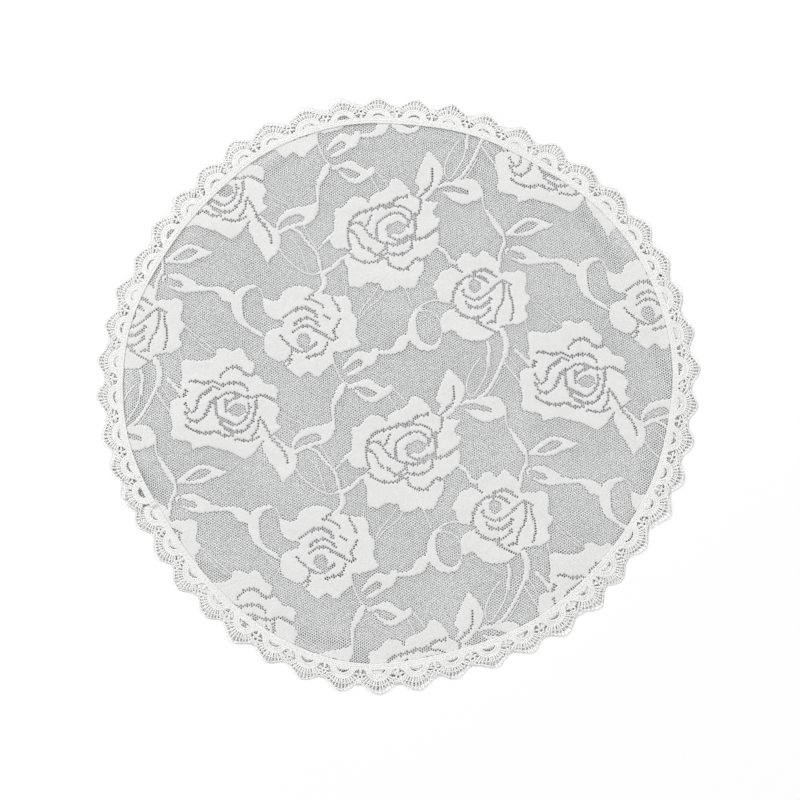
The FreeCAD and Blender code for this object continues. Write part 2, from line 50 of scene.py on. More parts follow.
LEAF_B = [(69,27),(74,31),(80,37),(86,43),(90,46),(92,52),(92,58),(91,64),(88,69),(83,72),(80,76),(78,77.5),(76,73),(73,67),(70,61),(66,56),(64,50),(61,44),(61,38),(64,32)]
LEAVES = {
 "leaf_1": [(89,41),(92,34),(97,29),(104,25.5),(112,24.5),(120,24),(127,22.5),(132,22),(133,27),(131,33),(127,38),(122,41.5),(115,43),(108,44),(102,45.5),(96,47),(91,50)],
 "leaf_2": [(146,190),(149,186),(153,181),(158,177),(163,174.5),(169,176),(174,177),(178,173.5),(182,174),(182,179),(180,184),(177,188.5),(171,190.5),(165,194),(158,197.5),(151,198),(147,197)],
 "leaf_3": [(322,69),(328,64),(334,59),(341,55.5),(348,53.5),(354,54.5),(360,57),(367,60),(372,62.5),(366,65.5),(358,67.5),(350,71),(343,72),(336,71.5),(328,70.5)],
 "leaf_4": [(319,85),(325,82.5),(332,81.5),(339,83),(345,87),(350,91),(355,95),(358,100),(352,101),(345,101.5),(338,100.5),(332,98),(326,94),(321,90)],
 "leaf_5": [(258,17),(264,11.5),(271,11),(278,10.5),(286,9),(293,9.5),(299,13),(303,19),(304,26),(300,30),(293,32),(286,34),(279,33),(273,30),(268,25.5),(263,21)],
 "leaf_6": [(150,207),(157,206.5),(163,204.5),(170,203.5),(176,207),(181,211.5),(186,214),(190,211.5),(194,212),(193,217),(188,221),(181,224),(174,227),(167,225),(161,220),(156,213),(151,210)],
}
OPEN = {
 "leaf_1": [(91,42),(96,36.5),(103,33),(110,31.5),(115,32),(118,35),(117,38.5),(111,40.5),(104,41.5),(97,43.5),(91,46)],
 "leaf_2": [(146,194),(152,187.5),(158,184),(163,182.5),(166.5,185),(165.5,189),(159,192),(153,195),(147,197)],
 "leaf_3": [(331,67),(337,62.5),(344,58.5),(350,57.5),(355,59),(357,62),(353,65),(347,67),(340,68.5),(334,69)],
 "leaf_4": [(320,87),(326,85),(332,87.5),(337,90),(340,93),(337,96),(331,94.5),(325,91)],
 "leaf_5": [(257,17),(266,15),(274,15),(282,18),(289,20.5),(289.5,24.5),(283,24),(276,22),(268,21),(261,19.5)],
 "leaf_6": [(156,209.5),(164,210.5),(170,212.5),(176,216),(178.5,219),(175,221.5),(169,221),(163,217.5),(158,213)],
 "core_a": [(200,53),(204,49.5),(209,47),(214,46.5),(218,48.5),(222,52),(220,56),(216,59.5),(210,59.5),(204,57)],
 "core_b": [(27,223),(30,219.5),(35,217),(41,217.5),(45,220),(46,224),(43,228.5),(38,230),(33,229),(29,226)],
 "core_c": [(103,155),(106,152),(111,152),(115,155),(115.5,161),(113,165),(109,167),(105,165),(102,160)],
 "core_d": [(281,112),(286,112),(290,115),(291,120),(289,124),(285,126),(281,124),(279,118)],
 "gap_a":  [(226,5),(233,5),(236,8),(239.5,14),(238,19),(235,22),(231,20),(229,15)],
}
BULB = [(183,176),(190,176.5),(197,174),(200,169),(204,164.5),(209,162.5),(213,162),(214,168),(211,174),(206,178),(199,180),(190,180.5),(184,179)]
RING_G = [(227,135.5),(222,138.5),(218,144),(215,151),(213.5,158),(213.5,165),(217,171),(221,175),(226,178.5),(233,179.5),(240,178.5),(244,175.5),(247.5,170),(246,167),(242,172.5),(237,174.5),(232,173.5),(227,170),(224.5,164),(223,157),(223,150),(224,144),(227,139),(231,137)]
RING_H = [(64,98.5),(57,99),(50,101),(44,105),(40,111),(38.5,118),(40,126),(43,133),(48,139),(54,143.5),(60,147.5),(66,151),(68,149.5),(63,145),(57,141),(52.5,136),(50,130),(49.5,124),(50,118),(51,111),(55,105.5),(60,102.5),(66,101)]
RIBBON_H = [(-5,88),(0,90),(5,93.5),(10,96),(16,97.5),(24,97.5),(30,98.5),(36,101.5),(42,106),(41,113),(38,115),(34,113.5),(30,111.5),(27,107),(23,102),(16,101),(8,101),(0,100),(-6,99)]
BUD_1 = [(134,227),(135.5,220),(138,213),(142,207),(147,203.5),(148.5,206),(146.5,212),(143,218),(138,224),(135,229)]
BUD_2 = [(305,43),(308,50),(311.5,58),(315,65),(319.5,71),(321,69),(320,62),(316,55),(311,48),(307,42)]
DENSE = [ROSE_A,ROSE_B,ROSE_C,ROSE_D,LEAF_A,LEAF_B,BULB,RING_G,RING_H,RIBBON_H,BUD_1,BUD_2]+list(LEAVES.values())
W3, W2, W1 = 2.9, 2.2, 1.6
OLINES = [
 # rose A
 ([(163,50),(165,44),(170,38),(176,34.5),(183,33),(190,32),(197,29.8),(204,29),(209,28.3),(212,25.5),(216,23),(221,22.7),(226,22)],W3),
 ([(164,46),(169,44.5),(174,44.8),(177,47.5),(180,51.5),(182.5,56),(186,60.5),(191,64),(196,66.5),(200,68.5),(206,69.5),(212,69.5),(218,68),(223,65.5),(228,62),(231,57.5),(232,51),(231,45)],W3),
 ([(164,50),(169,55),(172,60),(174,66),(178,71.5)],W2),
 ([(181,72.5),(185,75.5),(190,79.5),(194,77),(198,73)],W3),
 ([(164,50),(162,57),(163,64),(164,70)],W1),
 ([(160,71),(164,76),(168,81),(173,84),(179,86),(184,86),(189,85),(192,84),(196,82),(198,78.5)],W3),
 ([(199,70),(200,75),(202,79),(207,80.3),(213,80.3),(219,78.8),(223,77),(225.5,73),(227,67),(230,62)],W3),
 ([(199,83),(201,88),(204,92),(208,94.3),(212,96),(218,95.8),(222,93),(226,89),(229,86),(232,88),(237,87),(242,83.5)],W3),
 ([(230,65.5),(236,65.5),(240,65),(243.5,62.5),(247,61),(250,59),(255,56)],W3),
 ([(231,44),(234,42),(237.5,38),(239,33),(240,28),(239.5,23.5)],W2),
 ([(191,65),(191,57),(191.5,50),(194,46),(198,43),(203,40.5),(208,38.5),(213,38),(218,39.5),(222,43),(224,48),(225,51.5)],W2),
 ([(202,32.5),(208,31.2),(214,31),(220,32),(225,35),(229,39)],W1),
 ([(223,52),(226,47.5),(229,43.5),(232,40.5)],W3),
 ([(202,58),(205,62),(210,65),(216,65.5),(222,63.5),(228,61.5)],W3),
 ([(187,38),(184.5,43),(181,49)],W1),
 ([(254.5,-4),(254,6),(252,13)],W2),
 ([(252,13),(247,17.5),(241,22.5)],3.6),
 ([(158,69.5),(161,72)],W2),
 # rose B
 ([(23,189),(25,186),(28,184),(32,181.5),(37,180.7),(41,181),(45,184),(49,188),(53,190),(57,189),(62,187)],W3),
 ([(-8,190.5),(-2,191),(4,193),(10,193.7),(16,193),(20,195),(24,198),(28,197),(33,196),(38,196),(43,198),(47,200.5),(50,205)],W3),
 ([(-2,211),(2,206),(7,203),(12,200),(16,198),(21,201)],W3),
 ([(4,228),(7,222),(9,218),(12,214),(16,211),(20,210),(23,208),(26,206.5),(31,205.8),(36,206.5),(41,208.5),(45,210.5),(50,212.3),(55,212.5),(60,211),(65,211.5),(70,214),(76,218)],W3),
 ([(27.5,217),(31,214),(35,212),(40,211)],W2),
 ([(26.5,212),(25.8,218),(26,224)],W2),
 ([(16,226),(18,229),(22,231.5),(27,235),(31,237.3),(36,238),(41,236.5),(45,233),(48,228),(49.5,223),(49,217)],W3),
 ([(20,235),(24,240),(29,244),(35,245.3),(42,245),(47,242),(51,237),(54,231),(56,224),(57,216)],W3),
 ([(-4,242.5),(5,244),(12,243),(17,244),(21,247),(26,248),(33,249)],W3),
 ([(34,252.5),(40,253.5),(46,255),(52,254),(58,252)],W2),
 ([(52,250),(55.5,246),(58,241),(58,235)],W1),
 ([(60,233),(64,240),(67,246),(69,251)],W2),
 ([(-14,222),(-12,228),(-6,231),(0,229.5),(4,227.5)],W3),
 ([(-14,212),(-12,217),(-8,222),(-4,219),(-2,214),(0,209),(3,204)],W2),
 ([(-20,204),(-15,204),(-12,200)],W3),
 ([(-16,234),(-12,237),(-8,240),(-3,242)],W1),
 ([(16,212),(16.3,220),(16,226)],W1),
 ([(69,252),(72,257),(76,262),(79,266),(81,270)],3.4),
 ([(81,270),(83,276),(83,280)],W1),
 # rose C
 ([(91,134),(96,131),(100,128.3),(104,127),(109,126.3),(114,127),(118,129),(121,132),(124,136.5)],W3),
 ([(100,142),(103,139.3),(107,137.7),(112,137),(117,137.7),(121,141),(125,145.5)],W3),
 ([(99,149.5),(103,147),(107,145),(112,144.5),(117,146),(121,149),(126,152),(130,155),(134,158.3),(138,160.5),(143,159)],3.4),
 ([(97,166),(101,168.5),(106,169.7),(111,169.3),(114,167.5),(118,165),(121.5,162.5)],W3),
 ([(111,176),(115,174.8),(120,174.3),(125,173),(129,170),(131,166),(133.5,162)],W3),
 ([(114,117.5),(120,119),(124,121),(127,123),(131,127)],W2),
 ([(140,118),(142.5,123),(145,127),(147,134)],W1),
 ([(131,135.5),(136,139.5)],W2),
 ([(147,140),(145,145),(142,148),(139.5,152),(141,157)],W2),
 ([(86,152),(89,157),(93,161),(97,166)],W2),
 ([(90,178),(94,174.5),(97.5,169)],W2),
 ([(89,185),(92.5,181),(95.5,177)],W1),
 ([(118,114.5),(125,113.2),(131,112.5)],W2),
 # rose D
 ([(262,131.5),(263,126),(265,120),(268,116),(272,112),(276,109.3),(281,108.3),(286,108.5),(291,110),(295,113),(298.5,116.5)],W3),
 ([(284,105),(288,104),(293,103.3),(298,104),(302,107),(306,110.5)],3.3),
 ([(260,94),(266,96),(269.5,100),(273,104)],W2),
 ([(272,122),(274,127),(278,130),(283,132.3),(288,132),(293,129.7),(298,126.5),(302,123.5),(306,120)],4.2),
 ([(275,134),(278,138),(283,140.3),(288,141),(293,139.5),(297,136.5),(300,132)],W3),
 ([(262,134),(265,140),(268,144),(272,147.5),(277,150.3),(282,151),(287,151),(291,149.5),(295,147),(298.5,142)],W3),
 ([(284,155),(288,158),(292,161),(297,164),(302,167),(308,168.5)],W3),
 ([(295,157.5),(299,156)],W2),
 ([(306,120),(310,117.5),(314,115.7),(318,117),(321,119.5)],W3),
 ([(315,119),(314.5,127),(313,134),(310,140),(307,143.5),(304,150),(302,157)],W1),
 ([(320,120),(320,128),(322,138),(321.5,148),(318,157)],W1),
]
DLINES = [
 # sprays and stems
 ([(91,64.5),(95,72),(100,78),(106,84),(112,89),(118,92),(124,93.2),(131,92.5)],W2),
 ([(102,54),(106,58),(110,63),(113,68),(115,74),(116,80),(118,87),(119,92)],W1+.2),
 ([(104,44.5),(112,49),(115,53),(119,59),(124,65),(128,70),(130.5,76),(131.5,84),(132,92)],2.6),
 ([(116,42.5),(119,48),(121,53),(124,59),(128,65),(130,68.5)],W1+.2),
 ([(91,50),(97,47),(104,44.5)],W1+.4),
 ([(131,92.5),(138,91),(144,88),(149,84),(153,80),(158,79)],3.4),
 ([(132,92),(134.5,98),(134,104),(130,110),(126,113)],4.6),
 ([(149,54),(142,58),(137,62.5)],3.2),
 ([(130,69),(136,64)],W2),
 ([(213,113),(215.5,119),(218,127),(221,136)],W1+.2),
 ([(189,110),(185,116),(181,121),(175,127),(170,132.5),(165,140)],W1+.2),
 ([(194,116),(190,122),(184,127),(178,130.5),(173,134.5),(168,140),(163,143)],W1+.2),
 ([(227,139),(235,139.3),(241,141.5),(246,147),(248.5,153),(248.7,160),(247,168)],W1+.4),
 ([(222,139),(228,135),(234,131.7),(240,130),(247,129.7),(256,133)],2.4),
 ([(62,99.5),(68,102),(71,107.5),(72,115)],W1+.2),
 ([(66,150),(70,153)],W2),
 ([(133,24),(133,14),(133.5,5),(134.5,-2)],2.6),
 ([(137,182),(139,188),(142,196),(146,203),(152,208)],W2),
 ([(320,70),(320,77),(316.5,83),(313,90),(312,99)],2.8),
 ([(303,26),(303,34),(305,43)],W2),
 ([(252,75),(257,79.5),(260.5,84),(262.5,90),(268,93)],3.2),
 ([(253.5,58),(253.5,72)],W1),
 ([(333,157),(333.5,164),(335,171)],W1+.2),
 ([(156,108),(155,114),(154,119)],W1+.2),
 ([(189,0),(193,7.5),(197,15.5)],W1+.2),
 ([(194,215),(202,225),(207,233)],W1+.2),
 ([(341,136),(348,143),(356,151),(364,158.5),(370,165)],W1),
 ([(343,142),(350,150),(358,158.5),(366,165)],W1),
 ([(61,172),(66,165),(70,160)],W1),
 ([(30,58),(37,51)],W1),
 ([(79,7),(88,13.5),(100,20.5),(104,25)],W1),
 # loops above leaf 5
 ([(285,190),(276,200),(270,210),(267,219),(267.5,226),(271,229.7),(275,227),(281,219),(287,210),(290,200),(290.5,190)],W2),
 ([(292.5,176),(293.5,184),(292,193),(291,200)],2.6),
 ([(308,166),(311,174),(311,183),(309,191)],5.2),
 ([(309,191),(304.5,199),(300,207),(295,215),(289.5,222.5),(283,229),(277,232)],3.0),
 ([(302,211),(297,218),(292,225),(286,231)],W1+.2),
 ([(307,198),(312,206),(317,214),(322,222)],2.4),
 ([(312,192),(317,200),(321,208)],W1),
 ([(320,187),(325.5,192.5),(330,199),(333,205)],3.0),
 ([(78,77),(79,84)],W1),
]


# ------------------------------------------------------------------ curves
def spline(points, closed=False, n=6):
    p = np.array(points, float)
    if len(p) == 2 and not closed:
        s = np.linspace(0, 1, 8)[:, None]
        return p[0] * (1 - s) + p[1] * s
    q = np.vstack([p[-1:], p, p[:2]]) if closed else np.vstack([2 * p[0] - p[1], p, 2 * p[-1] - p[-2]])
    s = np.linspace(0, 1, n, endpoint=False)[:, None]
    out = []
    for i in range(1, len(q) - 2):
        a, b, c, d = q[i - 1], q[i], q[i + 1], q[i + 2]
        out.append(0.5 * (2 * b + (c - a) * s + (2 * a - 5 * b + 4 * c - d) * s ** 2 + (3 * b - a - 3 * c + d) * s ** 3))
    out = np.vstack(out)
    return out if closed else np.vstack([out, p[-1:]])


def inside(q, poly):
    r = np.zeros(len(q), bool)
    lo, hi = poly.min(0), poly.max(0)
    k = np.nonzero(((q >= lo) & (q <= hi)).all(1))[0]
    if len(k):
        a, b = poly, np.roll(poly, -1, 0)
        xs, ys = q[k, 0][:, None], q[k, 1][:, None]
        rise = np.where(b[:, 1] == a[:, 1], 1e-9, b[:, 1] - a[:, 1])
        hit = ((a[:, 1] > ys) != (b[:, 1] > ys)) & (xs < (b[:, 0] - a[:, 0]) * (ys - a[:, 1]) / rise + a[:, 0])
        r[k] = hit.sum(1) % 2 == 1
    return r


def distance(q, line, reach):
    r = np.full(len(q), 1e9)
    lo, hi = line.min(0) - reach, line.max(0) + reach
    k = np.nonzero(((q >= lo) & (q <= hi)).all(1))[0]
    if len(k):
        a, d = line[:-1], line[1:] - line[:-1]
        w = q[k][:, None, :] - a
        s = np.clip((w * d).sum(2) / np.maximum((d * d).sum(1), 1e-9), 0, 1)
        r[k] = np.sqrt(((w - s[..., None] * d) ** 2).sum(2)).min(1)
    return r


SHIFTS = [np.array((i * U, j * V)) for i in (-1, 0, 1) for j in (-1, 0, 1)]


def in_any(q, outlines):
    r = np.zeros(len(q), bool)
    for p in outlines:
        s = spline(p, True)
        for d in SHIFTS:
            r |= inside(q, s + d)
    return r


def near_any(q, lines, scale=1.0, grow=0.0):
    r = np.zeros(len(q), bool)
    for p, w in lines:
        s = spline(p)
        reach = w * scale / 2 + grow
        for d in SHIFTS:
            r |= distance(q, s + d, reach) < reach
    return r


# ------------------------------------------------------------------ the lay of the cloth
# Where the pattern's units land on the table, in millimetres.
P0 = np.array([-163.3, 151.8])
ACROSS = np.array([261.75, 21.0])
DOWN = np.array([14.475, -165.75])

# How the net is stretched out of square as it lies: cubic in x and y, each in 200 mm,
# and the result in mm. Terms: 1, x, y, xx, xy, yy, xxx, xxy, xyy, yyy.
STRETCH = np.array([
    [0.69, 0.80, 0.02, -0.07, -5.66, -0.62, -1.84, 0.15, -5.58, 0.37],
    [-0.06, 1.07, -0.92, -0.65, 0.16, -3.03, -1.45, 0.47, -2.66, 0.80]])


def stretched(p):
    x, y = np.clip(p[:, 0] / 200, -1.3, 1.3), np.clip(p[:, 1] / 200, -1.3, 1.3)
    terms = np.stack([np.ones_like(x), x, y, x * x, x * y, y * y, x ** 3, x * x * y, x * y * y, y ** 3], 1)
    return p + terms @ STRETCH.T


# The hand-laid rim is not a true circle. Tips of the scallops and the inner edge of
# the trim's heading, as (degrees clockwise from +X, radius), the radius in 0.75 mm steps.
TIPS = [2.25, 9.5, 17, 24, 32, 40, 46.75, 55, 62.75, 70.25, 78.5, 86,
        94, 101.25, 108.75, 116.25, 123.5, 131, 138.5, 146, 153.25, 158.5, 164.25, 171.25, 179,
        186.25, 193.25, 200.25, 207.25, 215, 221.5, 228.75, 236.5, 243.25, 251.5, 258.75, 266,
        273.5, 280.75, 288.5, 295.75, 302.75, 310.5, 318.25, 326.25, 333.5, 340.5, 348, 355.25]
TIP_R = [299, 299, 298, 297, 291, 292, 294, 293, 291, 291, 290, 296,
         301, 302, 302, 299, 298, 295, 295, 291, 292, 294, 297, 298, 299.5,
         301, 299, 299, 295, 295, 296, 297, 299, 299, 297, 297, 294,
         292, 292, 291, 292, 294, 296, 299, 301, 301, 300, 302, 302]
INNER = [(0, 274), (10, 271), (18, 270), (24, 267), (30, 266), (38, 264), (46, 264), (54, 264.5), (62, 265), (70, 264),
         (78, 264), (85, 267), (92, 271), (100, 275), (108, 274), (121, 271), (128, 267), (138, 265), (147, 263),
         (154, 264.5), (160, 268), (166, 272), (174, 274.5), (182, 275), (190, 276), (197, 275.5), (204, 272),
         (212, 270), (220, 269.5), (228, 269), (236, 272), (243, 274), (250, 273), (258, 273), (266, 270), (274, 267),
         (282, 268), (290, 267.5), (298, 266), (306, 267), (313, 270.5), (321, 274), (330, 276.5), (340, 276.5),
         (350, 277.5), (356, 276.5)]
TIP_T = np.array(TIPS)
TIP_MM = np.array(TIP_R) * 0.75


def around(theta, xs, ys, spread):
    """Value at an angle from +X, from points given clockwise in degrees, smoothed over a spread."""
    t = np.degrees(-np.asarray(theta, float)) % 360
    x = np.concatenate([xs - 360, xs, xs + 360])
    y = np.tile(ys, 3)
    out = np.zeros_like(t)
    for d in (-1.0, -0.5, 0.0, 0.5, 1.0):
        out = out + 0.2 * np.interp(t + d * spread, x, y)
    return out


INNER_T = np.array([p[0] for p in INNER], float)
INNER_MM = np.array([p[1] for p in INNER], float) * 0.75


def inner_edge(theta):
    return around(theta, INNER_T, INNER_MM, 5.0)


def tip_line(theta):
    return around(theta, TIP_T, TIP_MM, 9.0)


def rim_at(theta, x):
    """Radius of a point of the trim, x mm out from its arch's centre in the flat strip
    (the heading's inner edge is x = -4.2 and the tips are x = 18.5)."""
    a, b = inner_edge(theta), tip_line(theta)
    return a + (x + 4.2) / 22.7 * (b - a)


RISE = 0.75         # the net stands this far off the table inside its thick edging, mm
WAVES = [(rng.uniform(0, 2 * math.pi), rng.uniform(70, 190), rng.uniform(0, 2 * math.pi)) for _ in range(10)]


def lift(x, y):
    """Height of the cloth's gentle waves above the table, in mm, never under 0."""
    z = np.zeros_like(x)
    for a, length, ph in WAVES:
        z = z + np.sin((x * math.cos(a) + y * math.sin(a)) * 2 * math.pi / length + ph)
    r = np.hypot(x, y)
    s = np.clip((204.0 - r) / 26.0, 0, 1)
    return 0.42 + 0.13 * np.clip(z, -3, 4) + RISE * s * s * (3 - 2 * s)


def drift(x, y):
    """Small stretch of the net in its own plane, in mm."""
    dx = np.zeros_like(x)
    dy = np.zeros_like(x)
    for k, (a, length, ph) in enumerate(WAVES):
        s = np.sin((x * math.cos(a) + y * math.sin(a)) * 2 * math.pi / (length * 0.6) + ph * 1.7 + k)
        dx = dx + s * math.cos(ph)
        dy = dy + s * math.sin(ph)
    return 0.16 * dx, 0.16 * dy


# ------------------------------------------------------------------ mesh helpers
def add_mesh(name, verts, faces, smooth=True, mats=(), mat_index=None, uv_span=0.48):
    """faces is a list of integer arrays, each (n, 3) or (n, 4). verts are in mm."""
    verts = np.c_[verts[:, :2], np.maximum(verts[:, 2], 0.03)]      # nothing sinks into the table
    me = bpy.data.meshes.new(name)
    sizes = np.concatenate([np.full(len(f), f.shape[1], np.int32) for f in faces])
    loops = np.concatenate([f.ravel() for f in faces]).astype(np.int32)
    starts = np.concatenate([[0], np.cumsum(sizes)[:-1]]).astype(np.int32)
    me.vertices.add(len(verts))
    me.vertices.foreach_set("co", (verts * MM).astype(np.float32).ravel())
    me.loops.add(len(loops))
    me.loops.foreach_set("vertex_index", loops)
    me.polygons.add(len(sizes))
    me.polygons.foreach_set("loop_start", starts)
    me.polygons.foreach_set("loop_total", sizes)
    me.polygons.foreach_set("use_smooth", np.broadcast_to(np.asarray(smooth, bool), (len(sizes),)).copy())
    for m in mats:
        me.materials.append(m)
    if mat_index is not None:
        me.polygons.foreach_set("material_index", mat_index.astype(np.int32))
    uv = me.uv_layers.new(name="OFBake")
    flat = verts[loops][:, :2] * MM / uv_span + 0.5
    lo = flat.min(0)
    span = max((flat.max(0) - lo).max(), 1e-6)
    uv.data.foreach_set("uv", ((flat - lo) / span * 0.98 + 0.01).astype(np.float32).ravel())
    me.update(calc_edges=True)
    me.validate(verbose=False)
    ob = bpy.data.objects.new(name, me)
    bpy.context.scene.collection.objects.link(ob)
    return ob


class Tubes:
    """Gathers flattened cords into one mesh."""

    def __init__(self, sides=8):
        self.v, self.f, self.n, self.sides = [], [], 0, sides

    def add(self, pts, width, height, closed=False, round_ends=True):
        p = np.asarray(pts, float)
        n, k = len(p), self.sides
        w = np.broadcast_to(np.asarray(width, float), (n,)).copy()
        h = np.broadcast_to(np.asarray(height, float), (n,)).copy()
        if closed:
            t = np.roll(p, -1, 0) - np.roll(p, 1, 0)
        else:
            t = np.gradient(p, axis=0)
        t /= np.maximum(np.linalg.norm(t, axis=1), 1e-9)[:, None]
        side = np.c_[-t[:, 1], t[:, 0], np.zeros(n)]
        side /= np.maximum(np.linalg.norm(side, axis=1), 1e-9)[:, None]
        up = np.cross(t, side)
        if not closed and round_ends:
            # the last ring at each end is drawn in, so that the end is rounded
            for e, m in ((0, 1), (-1, -2)):
                w[e] *= 0.45
                h[e] *= 0.5
        a = np.arange(k) * 2 * math.pi / k
        ring = (side[:, None, :] * (np.cos(a)[None, :, None] * w[:, None, None] / 2)
                - up[:, None, :] * (np.sin(a)[None, :, None] * h[:, None, None] / 2)) + p[:, None, :]
        v = ring.reshape(-1, 3)
        i = np.arange(n if closed else n - 1)[:, None]
        j = np.arange(k)[None, :]
        i2, j2 = (i + 1) % n, (j + 1) % k
        f = np.stack([i * k + j, i * k + j2, i2 * k + j2, i2 * k + j], -1).reshape(-1, 4)
        self.f.append(f + self.n)
        if not closed:
            v = np.vstack([v, p[:1], p[-1:]])
            c0, c1 = n * k, n * k + 1
            jj = np.arange(k)
            tri0 = np.stack([np.full(k, c0), (jj + 1) % k, jj, ], -1)
            tri1 = np.stack([np.full(k, c1), (n - 1) * k + jj, (n - 1) * k + (jj + 1) % k], -1)
            self.f.append(tri0 + self.n)
            self.f.append(tri1 + self.n)
        self.v.append(v)
        self.n += len(v)

    def mesh(self, name, mat):
        v = np.vstack(self.v)
        quads = np.vstack([f for f in self.f if f.shape[1] == 4])
        tris = [f for f in self.f if f.shape[1] == 3]
        faces = [quads] + ([np.vstack(tris)] if tris else [])
        return add_mesh(name, v, faces, True, [mat])


# ------------------------------------------------------------------ materials
def noise(nt, scale, detail=3.0, rough=0.55, coords=None):
    n = nt.nodes.new("ShaderNodeTexNoise")
    n.inputs["Scale"].default_value = scale
    n.inputs["Detail"].default_value = detail
    n.inputs["Roughness"].default_value = rough
    nt.links.new(coords, n.inputs["Vector"])
    return n.outputs["Fac"]


def mixed(nt, fac, a, b):
    m = nt.nodes.new("ShaderNodeMix")
    m.data_type = "RGBA"
    nt.links.new(fac, m.inputs["Factor"])
    for sock, c in (("A", a), ("B", b)):
        s = [i for i in m.inputs if i.name == sock and i.type == "RGBA"][0]
        if isinstance(c, tuple):
            s.default_value = (*c, 1)
        else:
            nt.links.new(c, s)
    return [o for o in m.outputs if o.type == "RGBA"][0]


def ramp(nt, fac, lo, hi, a=0.0, b=1.0):
    r = nt.nodes.new("ShaderNodeMapRange")
    r.inputs["From Min"].default_value = lo
    r.inputs["From Max"].default_value = hi
    r.inputs["To Min"].default_value = a
    r.inputs["To Max"].default_value = b
    nt.links.new(fac, r.inputs["Value"])
    return r.outputs["Result"]


def yarn(name, light, dark, fine, rough=(0.62, 0.85), sheen=0.35, bump=0.25, patches=28.0, stretch=(1, 1, 1)):
    """White yarn: broad shade patches, fibre-scale variation, fibre bump."""
    m = bpy.data.materials.new(name)
    m.use_nodes = True
    nt = m.node_tree
    b = nt.nodes["Principled BSDF"]
    tc = nt.nodes.new("ShaderNodeTexCoord")
    mp = nt.nodes.new("ShaderNodeMapping")
    mp.inputs["Scale"].default_value = stretch
    mp.inputs["Rotation"].default_value = (0, 0, math.radians(4.6))
    nt.links.new(tc.outputs["Object"], mp.inputs["Vector"])
    co = mp.outputs["Vector"]
    broad = ramp(nt, noise(nt, patches, 2.0, 0.5, co), 0.3, 0.7)
    fibre = ramp(nt, noise(nt, fine, 4.0, 0.6, co), 0.3, 0.7)
    mid = tuple((p + q) / 2 for p, q in zip(light, dark))
    base = mixed(nt, broad, mid, light)
    col = mixed(nt, fibre, dark, base)
    nt.links.new(col, b.inputs["Base Color"])
    nt.links.new(ramp(nt, fibre, 0, 1, rough[1], rough[0]), b.inputs["Roughness"])
    bp = nt.nodes.new("ShaderNodeBump")
    bp.inputs["Strength"].default_value = bump
    bp.inputs["Distance"].default_value = 0.00015
    nt.links.new(fibre, bp.inputs["Height"])
    nt.links.new(bp.outputs["Normal"], b.inputs["Normal"])
    b.inputs["Sheen Weight"].default_value = sheen
    b.inputs["Sheen Roughness"].default_value = 0.4
    b.inputs["Specular IOR Level"].default_value = 0.35
    return m


NET = yarn("net_yarn", (0.755, 0.757, 0.757), (0.625, 0.628, 0.63), 1500.0, stretch=(1, 2.2, 1))
SOLID = yarn("flower_yarn", (0.79, 0.79, 0.785), (0.66, 0.66, 0.655), 900.0, bump=0.5, patches=60.0, stretch=(1, 1.8, 1))
GUIPURE = yarn("guipure_cord", (0.855, 0.853, 0.845), (0.74, 0.736, 0.725), 1300.0, (0.7, 0.9), 0.25, 0.5, patches=45.0)
THREAD = yarn("sewing_thread", (0.83, 0.83, 0.82), (0.71, 0.71, 0.70), 2200.0, (0.5, 0.7), 0.2, 0.4)

# ------------------------------------------------------------------ the knitted panel
NC, NR = 164, 86
ci, cj = np.meshgrid(np.arange(NC), np.arange(NR), indexing="ij")
ci, cj = ci.ravel(), cj.ravel()
card_uv = np.c_[ci * U / NC, (cj + 0.5 * (ci % 2)) * V / NR]
GROUPS = {
    "rose_a": [ROSE_A], "rose_b": [ROSE_B], "rose_c": [ROSE_C], "rose_d": [ROSE_D],
    "leaves": [LEAF_A, LEAF_B] + list(LEAVES.values()),
    "scrolls": [BULB, RING_G, RING_H, RIBBON_H], "buds": [BUD_1, BUD_2],
}
dense = np.zeros(len(card_uv), bool)
for outlines in GROUPS.values():
    dense |= in_any(card_uv, outlines)
dense &= ~in_any(card_uv, OPEN.values())
eyelet = np.zeros((NC, NR), bool)
pull = np.zeros((NC, NR, 2))       # from an openwork cell to the line it belongs to
along = np.zeros((NC * NR, 2))     # the direction of that line
along[:, 0] = 1
line_gap = np.full(NC * NR, 1e9)


def unrolled(pts, step):
    p = spline(pts, n=14)
    run = np.r_[0, np.cumsum(np.hypot(*np.diff(p, axis=0).T))]
    at = np.arange(0, run[-1], step)
    return np.c_[np.interp(at, run, p[:, 0]), np.interp(at, run, p[:, 1])]


